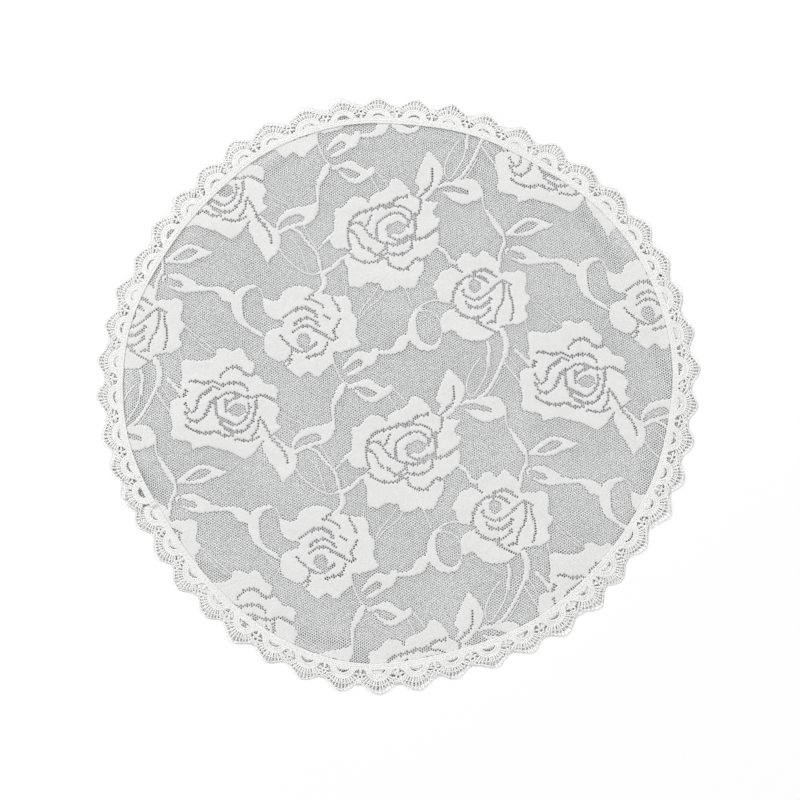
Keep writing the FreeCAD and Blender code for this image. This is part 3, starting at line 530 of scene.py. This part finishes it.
for pts, w in OLINES:
    q = unrolled(pts, 0.3)
    X, Y = q[:, 0] / (U / NC), q[:, 1] / (V / NR)
    best = np.full(len(q), 1e9)
    bi, bj = np.zeros(len(q), int), np.zeros(len(q), int)
    for di in (-1, 0, 1):
        i = np.round(X).astype(int) + di
        half = 0.5 * (i % 2)
        j = np.round(Y - half).astype(int)
        d = ((X - i) * U / NC) ** 2 + ((Y - j - half) * V / NR) ** 2
        m = d < best
        best[m], bi[m], bj[m] = d[m], i[m], j[m]
    off = q - np.c_[bi * U / NC, (bj + 0.5 * (bi % 2)) * V / NR]
    order = np.argsort(-best, kind="stable")
    eyelet[bi[order] % NC, bj[order] % NR] = True
    pull[bi[order] % NC, bj[order] % NR] = off[order] * (0.45 if w > 2.8 else 0.7)
    # the direction of the line at each cell near it, and a second row beside a broad line
    q2, tg = q[::3], np.gradient(q, axis=0)[::3]
    for step in SHIFTS:
        lo, hi = q2.min(0) + step - 2.2, q2.max(0) + step + 2.2
        k = np.nonzero(((card_uv >= lo) & (card_uv <= hi)).all(1))[0]
        if len(k) == 0:
            continue
        d = ((card_uv[k][:, None, :] - q2 - step) ** 2).sum(2)
        n, dist = d.argmin(1), np.sqrt(d.min(1))
        m = dist < line_gap[k]
        line_gap[k[m]], along[k[m]] = dist[m], tg[n[m]]
        if w > 2.8:
            eyelet.ravel()[k[dist < 1.7]] = True
dense &= ~eyelet.ravel()
STEMS = [(p, w) for p, w in DLINES if w >= 2.6]
dense |= near_any(card_uv, STEMS, 1.0, 0.1)
card = dense.reshape(NC, NR)

CORNERS = [(2, 0), (1, 1), (-1, 1), (-2, 0), (-1, -1), (1, -1)]   # round the cell, as seen with v down
kx = np.stack([(3 * ci + dx) % (3 * NC) for dx, dy in CORNERS], 1)
ky = np.stack([(2 * cj + ci % 2 + dy) % (2 * NR) for dx, dy in CORNERS], 1)
card_code, card_inv = np.unique((kx * 100000 + ky).ravel(), return_inverse=True)
card_inv = card_inv.reshape(-1, 6)
n_card = len(card_code)
corner_uv = np.c_[card_code // 100000 / 3.0 * U / NC, card_code % 100000 / 2.0 * V / NR]
adj = np.bincount(card_inv.ravel(), minlength=n_card).astype(float)
part = np.bincount(card_inv.ravel(), np.repeat(dense, 6).astype(float), n_card) / adj
eye = eyelet.ravel() & ~dense
eyes = np.bincount(card_inv.ravel(), np.repeat(eye, 6).astype(float), n_card)
shift = np.zeros((n_card, 2))
for a in (0, 1):
    shift[:, a] = np.bincount(card_inv.ravel(), np.repeat(np.where(eye, pull[..., a].ravel(), 0.0), 6), n_card)
shift /= np.maximum(eyes, 1)[:, None]

# the knitting pulls the edge of a flower to its drawn outline
edge = np.nonzero((part > 0) & (part < 1) & (eyes == 0))[0]
gap_to = np.full(len(edge), 1e9)
toward = np.zeros((len(edge), 2))


def nearest(q, line):
    a, d = line[:-1], line[1:] - line[:-1]
    w = q[:, None, :] - a
    t = np.clip((w * d).sum(2) / np.maximum((d * d).sum(1), 1e-9), 0, 1)
    p = a + t[..., None] * d
    k = ((q[:, None, :] - p) ** 2).sum(2).argmin(1)
    return p[np.arange(len(q)), k]


def draw_to(line, away=0.0):
    for step in SHIFTS:
        ln = line + step
        lo, hi = ln.min(0) - 4, ln.max(0) + 4
        k = np.nonzero(((corner_uv[edge] >= lo) & (corner_uv[edge] <= hi)).all(1))[0]
        if len(k) == 0:
            continue
        q = corner_uv[edge[k]]
        v = nearest(q, ln) - q
        if away:
            d = np.maximum(np.hypot(*v.T), 1e-6)
            v = v * ((d - away) / d)[:, None]
        d = np.hypot(*v.T)
        m = d < gap_to[k]
        gap_to[k[m]], toward[k[m]] = d[m], v[m]


for outline in [o for group in GROUPS.values() for o in group] + list(OPEN.values()):
    s = spline(outline, True)
    draw_to(np.vstack([s, s[:1]]))
for pts, w in STEMS:
    draw_to(spline(pts), w / 2)
shift[edge] = np.where((gap_to < 1.7)[:, None], 0.85 * toward * np.minimum(1, 1.05 / np.maximum(gap_to, 1e-6))[:, None], 0)
held = (eyes > 0)
held[edge] = True
for keep_share in (0.45, 0.45):
    tot = np.zeros((n_card, 2))
    for q in range(6):
        a, b = card_inv[:, q], card_inv[:, (q + 1) % 6]
        for ax_ in (0, 1):
            tot[:, ax_] += np.bincount(a, shift[b, ax_], n_card) + np.bincount(b, shift[a, ax_], n_card)
    near = tot / 6.0
    shift = np.where(held[:, None], 0.8 * shift + 0.2 * near, keep_share * near + (1 - keep_share) * shift * 0.5)

gi, gj = np.meshgrid(np.arange(-NC, 2 * NC), np.arange(-NR, 3 * NR), indexing="ij")
gi, gj = gi.ravel(), gj.ravel()


def lattice_to_mm(x, y):
    return stretched(P0 + (x / NC)[:, None] * ACROSS + (y / NR)[:, None] * DOWN)


centre = lattice_to_mm(gi.astype(float), gj + 0.5 * (gi % 2))
r = np.hypot(centre[:, 0], centre[:, 1])
th = np.arctan2(centre[:, 1], centre[:, 0])
cut = rim_at(th, 4.4) + 0.5 * np.sin(th * 23 + 1.0) + 0.4 * np.sin(th * 41)
keep = r < cut
gi, gj, centre = gi[keep], gj[keep], centre[keep]
solid = card[gi % NC, gj % NR]
lace_hole = eyelet[gi % NC, gj % NR]
line_way = along.reshape(NC, NR, 2)[gi % NC, gj % NR]
line_way = (line_way[:, :1] / U) * ACROSS + (line_way[:, 1:] / V) * DOWN
line_way /= np.maximum(np.hypot(line_way[:, 0], line_way[:, 1]), 1e-9)[:, None]

key = np.stack([np.stack([3 * gi + dx, 2 * gj + gi % 2 + dy], -1) for dx, dy in CORNERS], 1)
code = (key[..., 0] + 5000) * 100000 + key[..., 1] + 5000
uniq, inv = np.unique(code.ravel(), return_inverse=True)
inv = inv.reshape(-1, 6)
ukey = np.c_[uniq // 100000 - 5000, uniq % 100000 - 5000]
corner_xy = lattice_to_mm(ukey[:, 0] / 3.0, ukey[:, 1] / 2.0)
same = np.searchsorted(card_code, (ukey[:, 0] % (3 * NC)) * 100000 + ukey[:, 1] % (2 * NR))
corner_xy = corner_xy + (shift[same, 0] / U)[:, None] * ACROSS + (shift[same, 1] / V)[:, None] * DOWN
share = np.bincount(inv.ravel(), np.repeat(solid, 6).astype(float), len(uniq)) / np.bincount(inv.ravel(), minlength=len(uniq))

# Heights over the waves of the cloth, in mm.
jit = rng.normal(0, 1, (len(uniq), 3))
corner_xy = corner_xy + jit[:, :2] * 0.05
middle = corner_xy[inv].mean(1)
top_c = 0.93 + 0.15 * share + (0.03 + 0.02 * share) * jit[:, 2]
bot_c = 0.17 + 0.06 * share


def settle(xy, z):
    dx, dy = drift(xy[:, 0], xy[:, 1])
    return np.c_[xy[:, 0] + dx, xy[:, 1] + dy, z + lift(xy[:, 0], xy[:, 1]) - 0.42]


top_v = settle(corner_xy, top_c)
bot_v = settle(corner_xy, bot_c)

TILES = 6
edges_y = np.quantile(centre[:, 1], np.linspace(0, 1, TILES + 1))
tile_of = np.clip(np.searchsorted(edges_y, centre[:, 1], side="right") - 1, 0, TILES - 1)
cell_size = rng.normal(1.0, 0.05, len(gi))
cell_bump = rng.normal(0, 1, len(gi))
panels = []
top_n = np.zeros((len(uniq), 3))     # normals of the upper face at the cells' corners
waiting = []
for k in range(TILES):
    here = np.nonzero(tile_of == k)[0]
    used, loc = np.unique(inv[here].ravel(), return_inverse=True)
    loc = loc.reshape(-1, 6)
    nu = len(used)
    verts = [top_v[used], bot_v[used]]
    op = np.nonzero(~solid[here])[0]
    de = np.nonzero(solid[here])[0]
    n0 = 2 * nu
    # hole rings
    c = middle[here[op]]
    ring = []
    hole = np.array([0.66, 0.625])
    ax = ACROSS / np.linalg.norm(ACROSS)
    dn = DOWN / np.linalg.norm(DOWN)
    for q in range(6):
        d = corner_xy[inv[here[op], q]] - c
        du, dv = d @ ax, d @ dn
        s = cell_size[here[op]]
        xy = c + (du * hole[0] * s)[:, None] * ax + (dv * hole[1] * s)[:, None] * dn
        # an openwork hole is narrow along its line and broad across it
        lt = line_way[here[op]]
        ln = np.c_[-lt[:, 1], lt[:, 0]]
        eye_xy = c + ((d * lt).sum(1) * 0.60 * s)[:, None] * lt + ((d * ln).sum(1) * 0.90 * s)[:, None] * ln
        xy = np.where(lace_hole[here[op]][:, None], eye_xy, xy)
        ring.append(settle(xy, np.full(len(xy), 0.575)))
    ring = np.stack(ring, 1)
    verts.append(ring.reshape(-1, 3))
    n1 = n0 + len(op) * 6
    cd = middle[here[de]]
    verts.append(settle(cd, 1.09 + 0.045 * cell_bump[here[de]]))
    n2 = n1 + len(de)
    verts.append(settle(cd, np.full(len(cd), 0.30)))
    V3 = np.vstack(verts)
    quads, quad_m, tris, tri_m = [], [], [], []
    ro = n0 + np.arange(len(op)) * 6
    for q in range(6):
        q2 = (q + 1) % 6
        a, b = loc[op, q], loc[op, q2]
        quads.append(np.stack([b, a, ro + q, ro + q2], -1))
        quads.append(np.stack([a + nu, b + nu, ro + q2, ro + q], -1))
        quad_m += [np.zeros(len(op)), np.zeros(len(op))]
        a, b = loc[de, q], loc[de, q2]
        ct, cb = n1 + np.arange(len(de)), n2 + np.arange(len(de))
        tris.append(np.stack([ct, b, a], -1))
        tris.append(np.stack([cb, a + nu, b + nu], -1))
        tri_m += [np.ones(len(de)), np.ones(len(de))]
    # walls where the tile ends
    ea = np.concatenate([loc[:, q] for q in range(6)])
    eb = np.concatenate([loc[:, (q + 1) % 6] for q in range(6)])
    em = np.concatenate([solid[here].astype(float)] * 6)
    lo_, hi_ = np.minimum(ea, eb), np.maximum(ea, eb)
    ecode = lo_.astype(np.int64) * nu + hi_
    _, first, cnt = np.unique(ecode, return_index=True, return_counts=True)
    brink = first[cnt == 1]
    quads.append(np.stack([ea[brink], eb[brink], eb[brink] + nu, ea[brink] + nu], -1))
    quad_m.append(em[brink])
    Q, T = np.vstack(quads), np.vstack(tris)
    mi = np.concatenate([np.concatenate(quad_m), np.concatenate(tri_m)])
    # the end walls are flat shaded, so that no line shows where two tiles meet
    soft = np.ones(len(Q) + len(T), bool)
    soft[len(Q) - len(brink):len(Q)] = False
    for f in (Q[:0], *quads[:-1:2], *tris[::2]):
        if len(f):
            nrm = np.cross(V3[f[:, 2]] - V3[f[:, 0]], V3[f[:, -1]] - V3[f[:, 1]] if f.shape[1] == 4 else V3[f[:, 2]] - V3[f[:, 1]])
            nrm = np.where(nrm[:, 2:] < 0, -nrm, nrm)
            for q in range(f.shape[1]):
                m = f[:, q] < nu
                np.add.at(top_n, used[f[m, q]], nrm[m])
    ob = add_mesh("lace_panel_%d" % (k + 1), V3, [Q, T], soft, [NET, SOLID], mi)
    border = np.zeros(len(V3), bool)
    border[np.unique(np.concatenate([ea[brink], eb[brink]]))] = True
    waiting.append((ob, used, border, soft))
    panels.append(ob)
    print(ob.name, "triangles", 2 * len(Q) + len(T), "solid share", round(float(solid[here].mean()), 3))

top_n /= np.maximum(np.linalg.norm(top_n, axis=1), 1e-12)[:, None]
for ob, used, border, soft in waiting:
    me = ob.data
    vi = np.empty(len(me.loops), np.int32)
    me.loops.foreach_get("vertex_index", vi)
    total = np.empty(len(me.polygons), np.int32)
    me.polygons.foreach_get("loop_total", total)
    use = border[vi] & np.repeat(soft, total) & (vi < len(used))
    cn = np.zeros((len(vi), 3), np.float32)
    cn[use] = top_n[used[vi[use]]]
    me.normals_split_custom_set([tuple(n) for n in cn.tolist()])

# thin stems that run over the net as a heavier laid-in thread
stems = Tubes(6)
for p, w in DLINES:
    s = spline(p, n=5)
    for i in range(-1, 2):
        for j in range(-1, 3):
            xy = stretched(P0 + (s[:, 0] / U + i)[:, None] * ACROSS + (s[:, 1] / V + j)[:, None] * DOWN)
            ok = np.hypot(xy[:, 0], xy[:, 1]) < rim_at(np.arctan2(xy[:, 1], xy[:, 0]), 0.0)
            if ok.sum() < 4:
                continue
            idx = np.nonzero(ok)[0]
            for run in np.split(idx, np.nonzero(np.diff(idx) > 1)[0] + 1):
                if len(run) < 4:
                    continue
                q = settle(xy[run], np.full(len(run), 0.98))
                stems.add(q, 0.75 * w * 0.72, 0.42)
stem_ob = stems.mesh("flower_stem_cords", SOLID)

# ------------------------------------------------------------------ the guipure trim
LAPPED = 21
PIVOT = 206.5                 # the arch's centre in the flat strip
GAP = 14.0                    # half a scallop, along the rim

cords = {name: Tubes(8) for name in ("trim_heading_cords", "trim_heading_ladder", "trim_arches",
                                     "trim_fans", "trim_picots", "trim_valleys", "trim_lap")}
tip_t, tip_r = TIP_T, TIP_MM


def trim_z(radius, x, y):
    """Middle height of the trim: over the panel's edge it is high, beyond it sinks to the table."""
    s = np.clip((radius - 209.0) / 5.0, 0, 1)
    s = s * s * (3 - 2 * s)
    return (1.32 * (1 - s) + 0.78 * s) + lift(x, y) - 0.42


class Scallop:
    def __init__(self, k):
        self.k = k
        t, n = tip_t, len(tip_t)
        self.theta = -math.radians(t[k])
        prev = (t[k] - t[k - 1]) % 360
        nxt = (t[(k + 1) % n] - t[k]) % 360
        if k in (LAPPED - 1, LAPPED, LAPPED + 1):
            prev, nxt = max(prev, 7.2), max(nxt, 7.2)
        self.prev, self.next = prev / 2, nxt / 2
        self.grow = 1 + rng.normal(0, 0.018)
        self.lean = rng.normal(0, 0.035)
        self.curl = abs(rng.normal(0, 0.15))
        self.up = 1.0 if k == LAPPED else 0.0
        self.fill = rng.uniform(2.3, 3.6) if rng.uniform() < 0.62 else 0.0

    def __call__(self, x, y, dz=0.0):
        """x is out from the heading and y along the rim, both from the arch's centre, in mm."""
        x, y = np.broadcast_arrays(np.asarray(x, float), np.asarray(y, float))
        a = y / GAP
        # +y runs anticlockwise, towards the previous tip on the clockwise list
        step = np.where(a > 0, self.prev, self.next)
        y2 = a + self.lean * x / 14.0
        theta = self.theta + np.radians(y2 * step)
        out = np.clip(x / 18.5, 0, 1)
        own = (tip_r[self.k] - tip_line(np.full(x.shape, self.theta))) * out
        radius = rim_at(theta, x * (1 + (self.grow - 1) * out)) + own
        px, py = radius * np.cos(theta), radius * np.sin(theta)
        z = trim_z(PIVOT + x, px, py) + dz + self.up + self.curl * out ** 2
        return np.stack([px, py, z], -1)


def arc(radius, a0, a1, n, squash=1.0):
    a = np.radians(np.linspace(a0, a1, n))
    return radius * np.cos(a) * squash, radius * np.sin(a)


def reach(a):
    """Length of a spoke at an angle, to the scallop's outline, a low pointed arch."""
    lo, hi = 8.0, 24.0
    for _ in range(30):
        m = (lo + hi) / 2
        x, y = m * math.cos(a), abs(m * math.sin(a))
        if x < 17.7 - 7.0 * math.sin(min(y / 13.0, 1.0) * math.pi / 2) ** 2:
            lo = m
        else:
            hi = m
    return lo


SPOKES = [-52.0, -43.0, -33.5, -23.5, -14.0, -4.7, 4.7, 14.0, 23.5, 33.5, 43.0, 52.0]
scallops = [Scallop(k) for k in range(49)]
for s in scallops:
    lap = s.k == LAPPED
    arches = cords["trim_lap"] if lap else cords["trim_arches"]
    fans = cords["trim_lap"] if lap else cords["trim_fans"]
    picots = cords["trim_lap"] if lap else cords["trim_picots"]
    # three cords round the arch, standing on the heading
    for radius, w, h, n in ((5.9, 1.8, 0.95, 26), (7.5, 1.75, 0.85, 28), (9.3, 1.9, 0.95, 32)):
        x, y = arc(radius, -88, 88, n, 0.98)
        wob = 1 + 0.05 * np.sin(np.linspace(0, 19, n) + s.k)
        arches.add(s(x, y), w * wob, h)
    # satin stitches that bridge the second and third cords, with pin holes left between
    shift = rng.normal(0, 2.0)
    for a in np.arange(-84, 85, 14.0) + shift:
        ca, sa = math.cos(math.radians(a)), math.sin(math.radians(a))
        x = np.array([7.4, 8.0, 8.7, 9.3]) * ca * 0.98
        y = np.array([7.4, 8.0, 8.7, 9.3]) * sa
        arches.add(s(x, y), 1.45 if abs(a) < 40 else 1.9, 0.8)
    # most arches have a satin pad in their opening, which leaves a thin crescent
    if s.fill > 0:
        for yy in np.linspace(-4.3, 4.3, 9):
            top = s.fill * math.sqrt(max(0.0, 1 - (yy / 5.0) ** 2)) + rng.normal(0, 0.12)
            arches.add(s(np.linspace(-0.6, max(top, 0.2), 5), np.full(5, yy) + rng.normal(0, 0.08)), 1.25, 0.75)
    # spokes, which widen outwards
    tips = []
    for a in SPOKES:
        a2 = a + rng.normal(0, 0.8)
        ca, sa = math.cos(math.radians(a2)), math.sin(math.radians(a2))
        far = reach(math.radians(a2)) + 0.3 + rng.normal(0, 0.15)
        rr = np.linspace(9.8, far, 9)
        slim = 0.95 if abs(a) < 28 else 1.2
        w = np.interp(rr, [9.8, 12.4, 13.8, max(far, 14.0)], [1.35, 1.6, slim, slim]) * (1 + rng.normal(0, 0.09))
        fans.add(s(rr * ca, rr * sa), w, 1.3)
        tips.append((far, a2))
    # a thread across the spokes half way, and the cord along their ends
    x, y = arc(13.3, -58, 58, 26)
    fans.add(s(x, y, -0.12), 1.0, 0.7)
    ta = np.array([q[1] for q in tips])
    tr = np.array([q[0] for q in tips])
    aa = np.linspace(-55, 55, 44)
    rr = np.interp(aa, ta, tr) + 0.4 + 0.1 * np.cos(np.radians((aa) * 40))
    fans.add(s(rr * np.cos(np.radians(aa)), rr * np.sin(np.radians(aa))), 0.5, 0.6)
    # picot loops outside each spoke
    for far, a in tips:
        loop = np.radians(np.linspace(-115, 115, 9))
        cx_, cy_ = (far + 0.15) * math.cos(math.radians(a)), (far + 0.15) * math.sin(math.radians(a))
        ux, uy = math.cos(math.radians(a)), math.sin(math.radians(a))
        x = cx_ + 0.38 * (np.cos(loop) * ux - np.sin(loop) * uy)
        y = cy_ + 0.38 * (np.cos(loop) * uy + np.sin(loop) * ux)
        picots.add(s(x, y), 0.28, 0.3)
    # the valley on the anticlockwise side: a stalk that forks round a small hole
    if not lap:
        bars = cords["trim_valleys"]
        ox, oy = rng.normal(0, 0.3), rng.normal(0, 0.35)
        bars.add(s(np.linspace(0.0, 4.9 + ox, 6), np.full(6, GAP) + np.linspace(0, oy, 6)), np.linspace(2.4, 1.7, 6), 1.0)
        hole = np.radians(np.linspace(0, 360, 15)[:-1])
        big = rng.uniform(1.5, 2.0)
        bars.add(s(6.9 + ox + big * np.cos(hole), GAP + oy + 0.95 * big * np.sin(hole)), 1.35, 1.05, closed=True)
        for sgn in (-1, 1):
            # the fork's arms reach the arch cords and the last spokes
            j = rng.normal(0, 0.25, 3)
            bars.add(s(np.array([5.0, 4.9, 4.6, 4.4]) + j[0], GAP + sgn * np.array([0.6, 1.7, 3.0, 4.4])), 1.5, 0.95)
            bars.add(s(np.array([9.0, 9.8, 10.4, 10.8]) + j[1], GAP + sgn * np.array([1.2, 2.2, 3.2, 4.2])), 1.45, 0.95)
            bars.add(s(np.array([0.3, 0.9, 1.2, 1.2]) + j[2], GAP + sgn * np.array([2.0, 3.2, 4.4, 5.4])), 1.8, 0.95)
            if rng.uniform() < 0.45:
                bars.add(s(np.array([7.4, 7.6, 7.4]) + j[2], GAP + sgn * np.array([1.8, 2.8, 3.9])), 1.5, 0.9)
        bars.add(s(np.array([8.5, 9.3, 10.1]), np.full(3, GAP)), 1.7, 0.95)
        bars.add(s(np.array([10.5, 10.6, 10.5]), GAP + np.array([-1.9, 0.0, 1.9])), 1.0, 0.8)

# heading: two cords with a ladder of stitches between, the strip's ends overlapped
lap_at = -math.radians((TIPS[LAPPED] + 0.0))
turn = np.linspace(-math.radians(3.6), 2 * math.pi + math.radians(3.6), 1500)
theta = lap_at + turn


def heading(theta, turn, radius):
    rad = rim_at(theta, radius - PIVOT)
    x, y = rad * np.cos(theta), rad * np.sin(theta)
    over = np.clip((turn - (2 * math.pi - math.radians(5.5))) / math.radians(2.5), 0, 1)
    return np.stack([x, y, trim_z(np.full_like(rad, radius), x, y) + over * 1.0], -1)


for radius, w in ((202.95, 1.7), (204.7, 2.3), (206.45, 1.7)):
    wob = 1 + 0.06 * np.sin(turn * 311) + 0.04 * np.sin(turn * 523 + 1)
    cords["trim_heading_cords"].add(heading(theta, turn, radius), w * wob, 0.85)
for q in np.arange(turn[0] + 0.004, turn[-1] - 0.004, 1.2 / 204.5):
    tt = q + np.array([-0.0018, -0.0006, 0.0006, 0.0018]) * 1.6
    rad = np.array([202.7, 204.0, 205.4, 206.7]) + rng.normal(0, 0.1)
    th_ = lap_at + tt
    rr = rim_at(th_, rad - PIVOT)
    x, y = rr * np.cos(th_), rr * np.sin(th_)
    over = float(np.clip((q - (2 * math.pi - math.radians(5.5))) / math.radians(2.5), 0, 1))
    z = trim_z(rad, x, y) + over + 0.02
    cords["trim_heading_ladder"].add(np.stack([x, y, z], -1), 1.0 * (1 + rng.normal(0, 0.08)), 0.72)

trim = {name: t.mesh(name, GUIPURE) for name, t in cords.items()}
for o in trim.values():
    print(o.name, "triangles", sum(len(p.vertices) - 2 for p in o.data.polygons))

# ------------------------------------------------------------------ sewing
sew = Tubes(6)
for q in np.arange(0.06, 2 * math.pi - 0.10, 3.0 / 204.45):
    tt = q + np.linspace(-1.15, 1.15, 5) / 204.45
    th_ = lap_at + tt
    rr = rim_at(th_, np.full(5, 204.75 - PIVOT))
    x, y = rr * np.cos(th_), rr * np.sin(th_)
    dip = np.array([-0.35, -0.02, 0.05, -0.02, -0.35])
    sew.add(np.stack([x, y, trim_z(np.full(5, 204.45), x, y) + 0.40 + dip], -1), 0.36, 0.3)
upper = sew.mesh("seam_upper_stitches", THREAD)
low = Tubes(6)
for q in np.arange(0.0, 2 * math.pi, 3.0 / 204.45):
    tt = q + 1.5 / 204.45 + np.linspace(-1.3, 1.3, 5) / 204.45
    th_ = lap_at + tt
    rr = rim_at(th_, np.full(5, 204.75 - PIVOT))
    x, y = rr * np.cos(th_), rr * np.sin(th_)
    low.add(np.stack([x, y, np.full(5, 0.22) + lift(x, y) - 0.30 + np.array([0.1, 0, 0, 0, 0.1])], -1), 0.34, 0.24)
lower = low.mesh("seam_lower_stitches", THREAD)
tack = Tubes(6)
for deg in (-3.4, -2.5, 2.5, 3.4):
    th_ = lap_at + math.radians(deg)
    rr = rim_at(np.full(7, th_), np.linspace(202.7, 206.6, 7) - PIVOT)
    x, y = rr * math.cos(th_), rr * math.sin(th_)
    z = trim_z(np.full(7, 204.0), x, y) + 1.0 + 0.55 + np.array([-0.4, -0.08, 0, 0.02, 0, -0.08, -0.4])
    tack.add(np.stack([x, y, z], -1), 0.42, 0.36)
tacks = tack.mesh("lap_tacks", THREAD)

# ------------------------------------------------------------------ what stands for what
FLOWERS = ["large_rose_a", "large_rose_b", "small_rose_c", "small_rose_d", "rose_leaves", "leaf_sprays",
           "scroll_ribbons", "flower_buds"]
for o in panels:
    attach(o, "root")
    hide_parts("lace_ground_panel", *FLOWERS)
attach(stem_ob, "root")
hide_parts("flower_stems")
STANDS = {"trim_heading_cords": ["trim_heading_band"], "trim_heading_ladder": ["trim_heading_band"],
          "trim_arches": ["trim_arch_cords"], "trim_fans": ["trim_fan_spokes"], "trim_picots": ["trim_picot_edge"],
          "trim_valleys": ["trim_valley_bars"], "trim_lap": ["trim_lap_end"]}
for name, o in trim.items():
    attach(o, "root")
    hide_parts(*STANDS[name])
for o, node in ((upper, "seam_needle_thread"), (lower, "seam_bobbin_thread"), (tacks, "lap_tack_stitches")):
    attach(o, "root")
    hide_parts(node)

# ------------------------------------------------------------------ floor, light, camera
floor_mat = bpy.data.materials.new("floor")
floor_mat.use_nodes = True
nt = floor_mat.node_tree
b = nt.nodes["Principled BSDF"]
tc = nt.nodes.new("ShaderNodeTexCoord")
nt.links.new(mixed(nt, noise(nt, 3.0, 2.0, 0.5, tc.outputs["Object"]), (0.89, 0.89, 0.89), (0.905, 0.905, 0.905)), b.inputs["Base Color"])
b.inputs["Roughness"].default_value = 0.9
b.inputs["Specular IOR Level"].default_value = 0.1
me = bpy.data.meshes.new("floor")
me.from_pydata([(-9, -9, 0), (9, -9, 0), (9, 9, 0), (-9, 9, 0)], [], [(0, 1, 2, 3)])
me.materials.append(floor_mat)
floor = bpy.data.objects.new("floor", me)
bpy.context.scene.collection.objects.link(floor)


def area_light(name, where, size, power):
    l = bpy.data.lights.new(name, "AREA")
    l.shape = "DISK"
    l.size = size
    l.energy = power
    o = bpy.data.objects.new(name, l)
    o.location = where
    from mathutils import Vector
    o.rotation_mode = "QUATERNION"
    o.rotation_quaternion = (-Vector(where)).to_track_quat("-Z", "Y")
    bpy.context.scene.collection.objects.link(o)
    return o


for name, turn_, power in (("key", 128, 120), ("left", 218, 58), ("right", 38, 60), ("front", 308, 66)):
    t = math.radians(turn_)
    area_light(name, (3.15 * math.cos(t), 3.15 * math.sin(t), 1.62), 1.0, power)
world = bpy.data.worlds.new("studio")
world.use_nodes = True
world.node_tree.nodes["Background"].inputs["Color"].default_value = (1, 1, 1, 1)
world.node_tree.nodes["Background"].inputs["Strength"].default_value = 0.03
bpy.context.scene.world = world
bpy.context.scene.view_settings.view_transform = "Standard"

cam = bpy.data.cameras.new("camera")
cam.sensor_width = 36
cam.lens = 120
cam.clip_start, cam.clip_end = 0.05, 50
co = bpy.data.objects.new("camera", cam)
co.location = (0.0017, -0.0057, 2.0)
bpy.context.scene.collection.objects.link(co)
bpy.context.scene.camera = co

# ------------------------------------------------------------------ sheet
low_y = edges_y
for k, o in enumerate(panels):
    lo, hi = np.array(o.bound_box[0]), np.array(o.bound_box[6])
    w, l = float(hi[0] - lo[0]), float(hi[1] - lo[1])
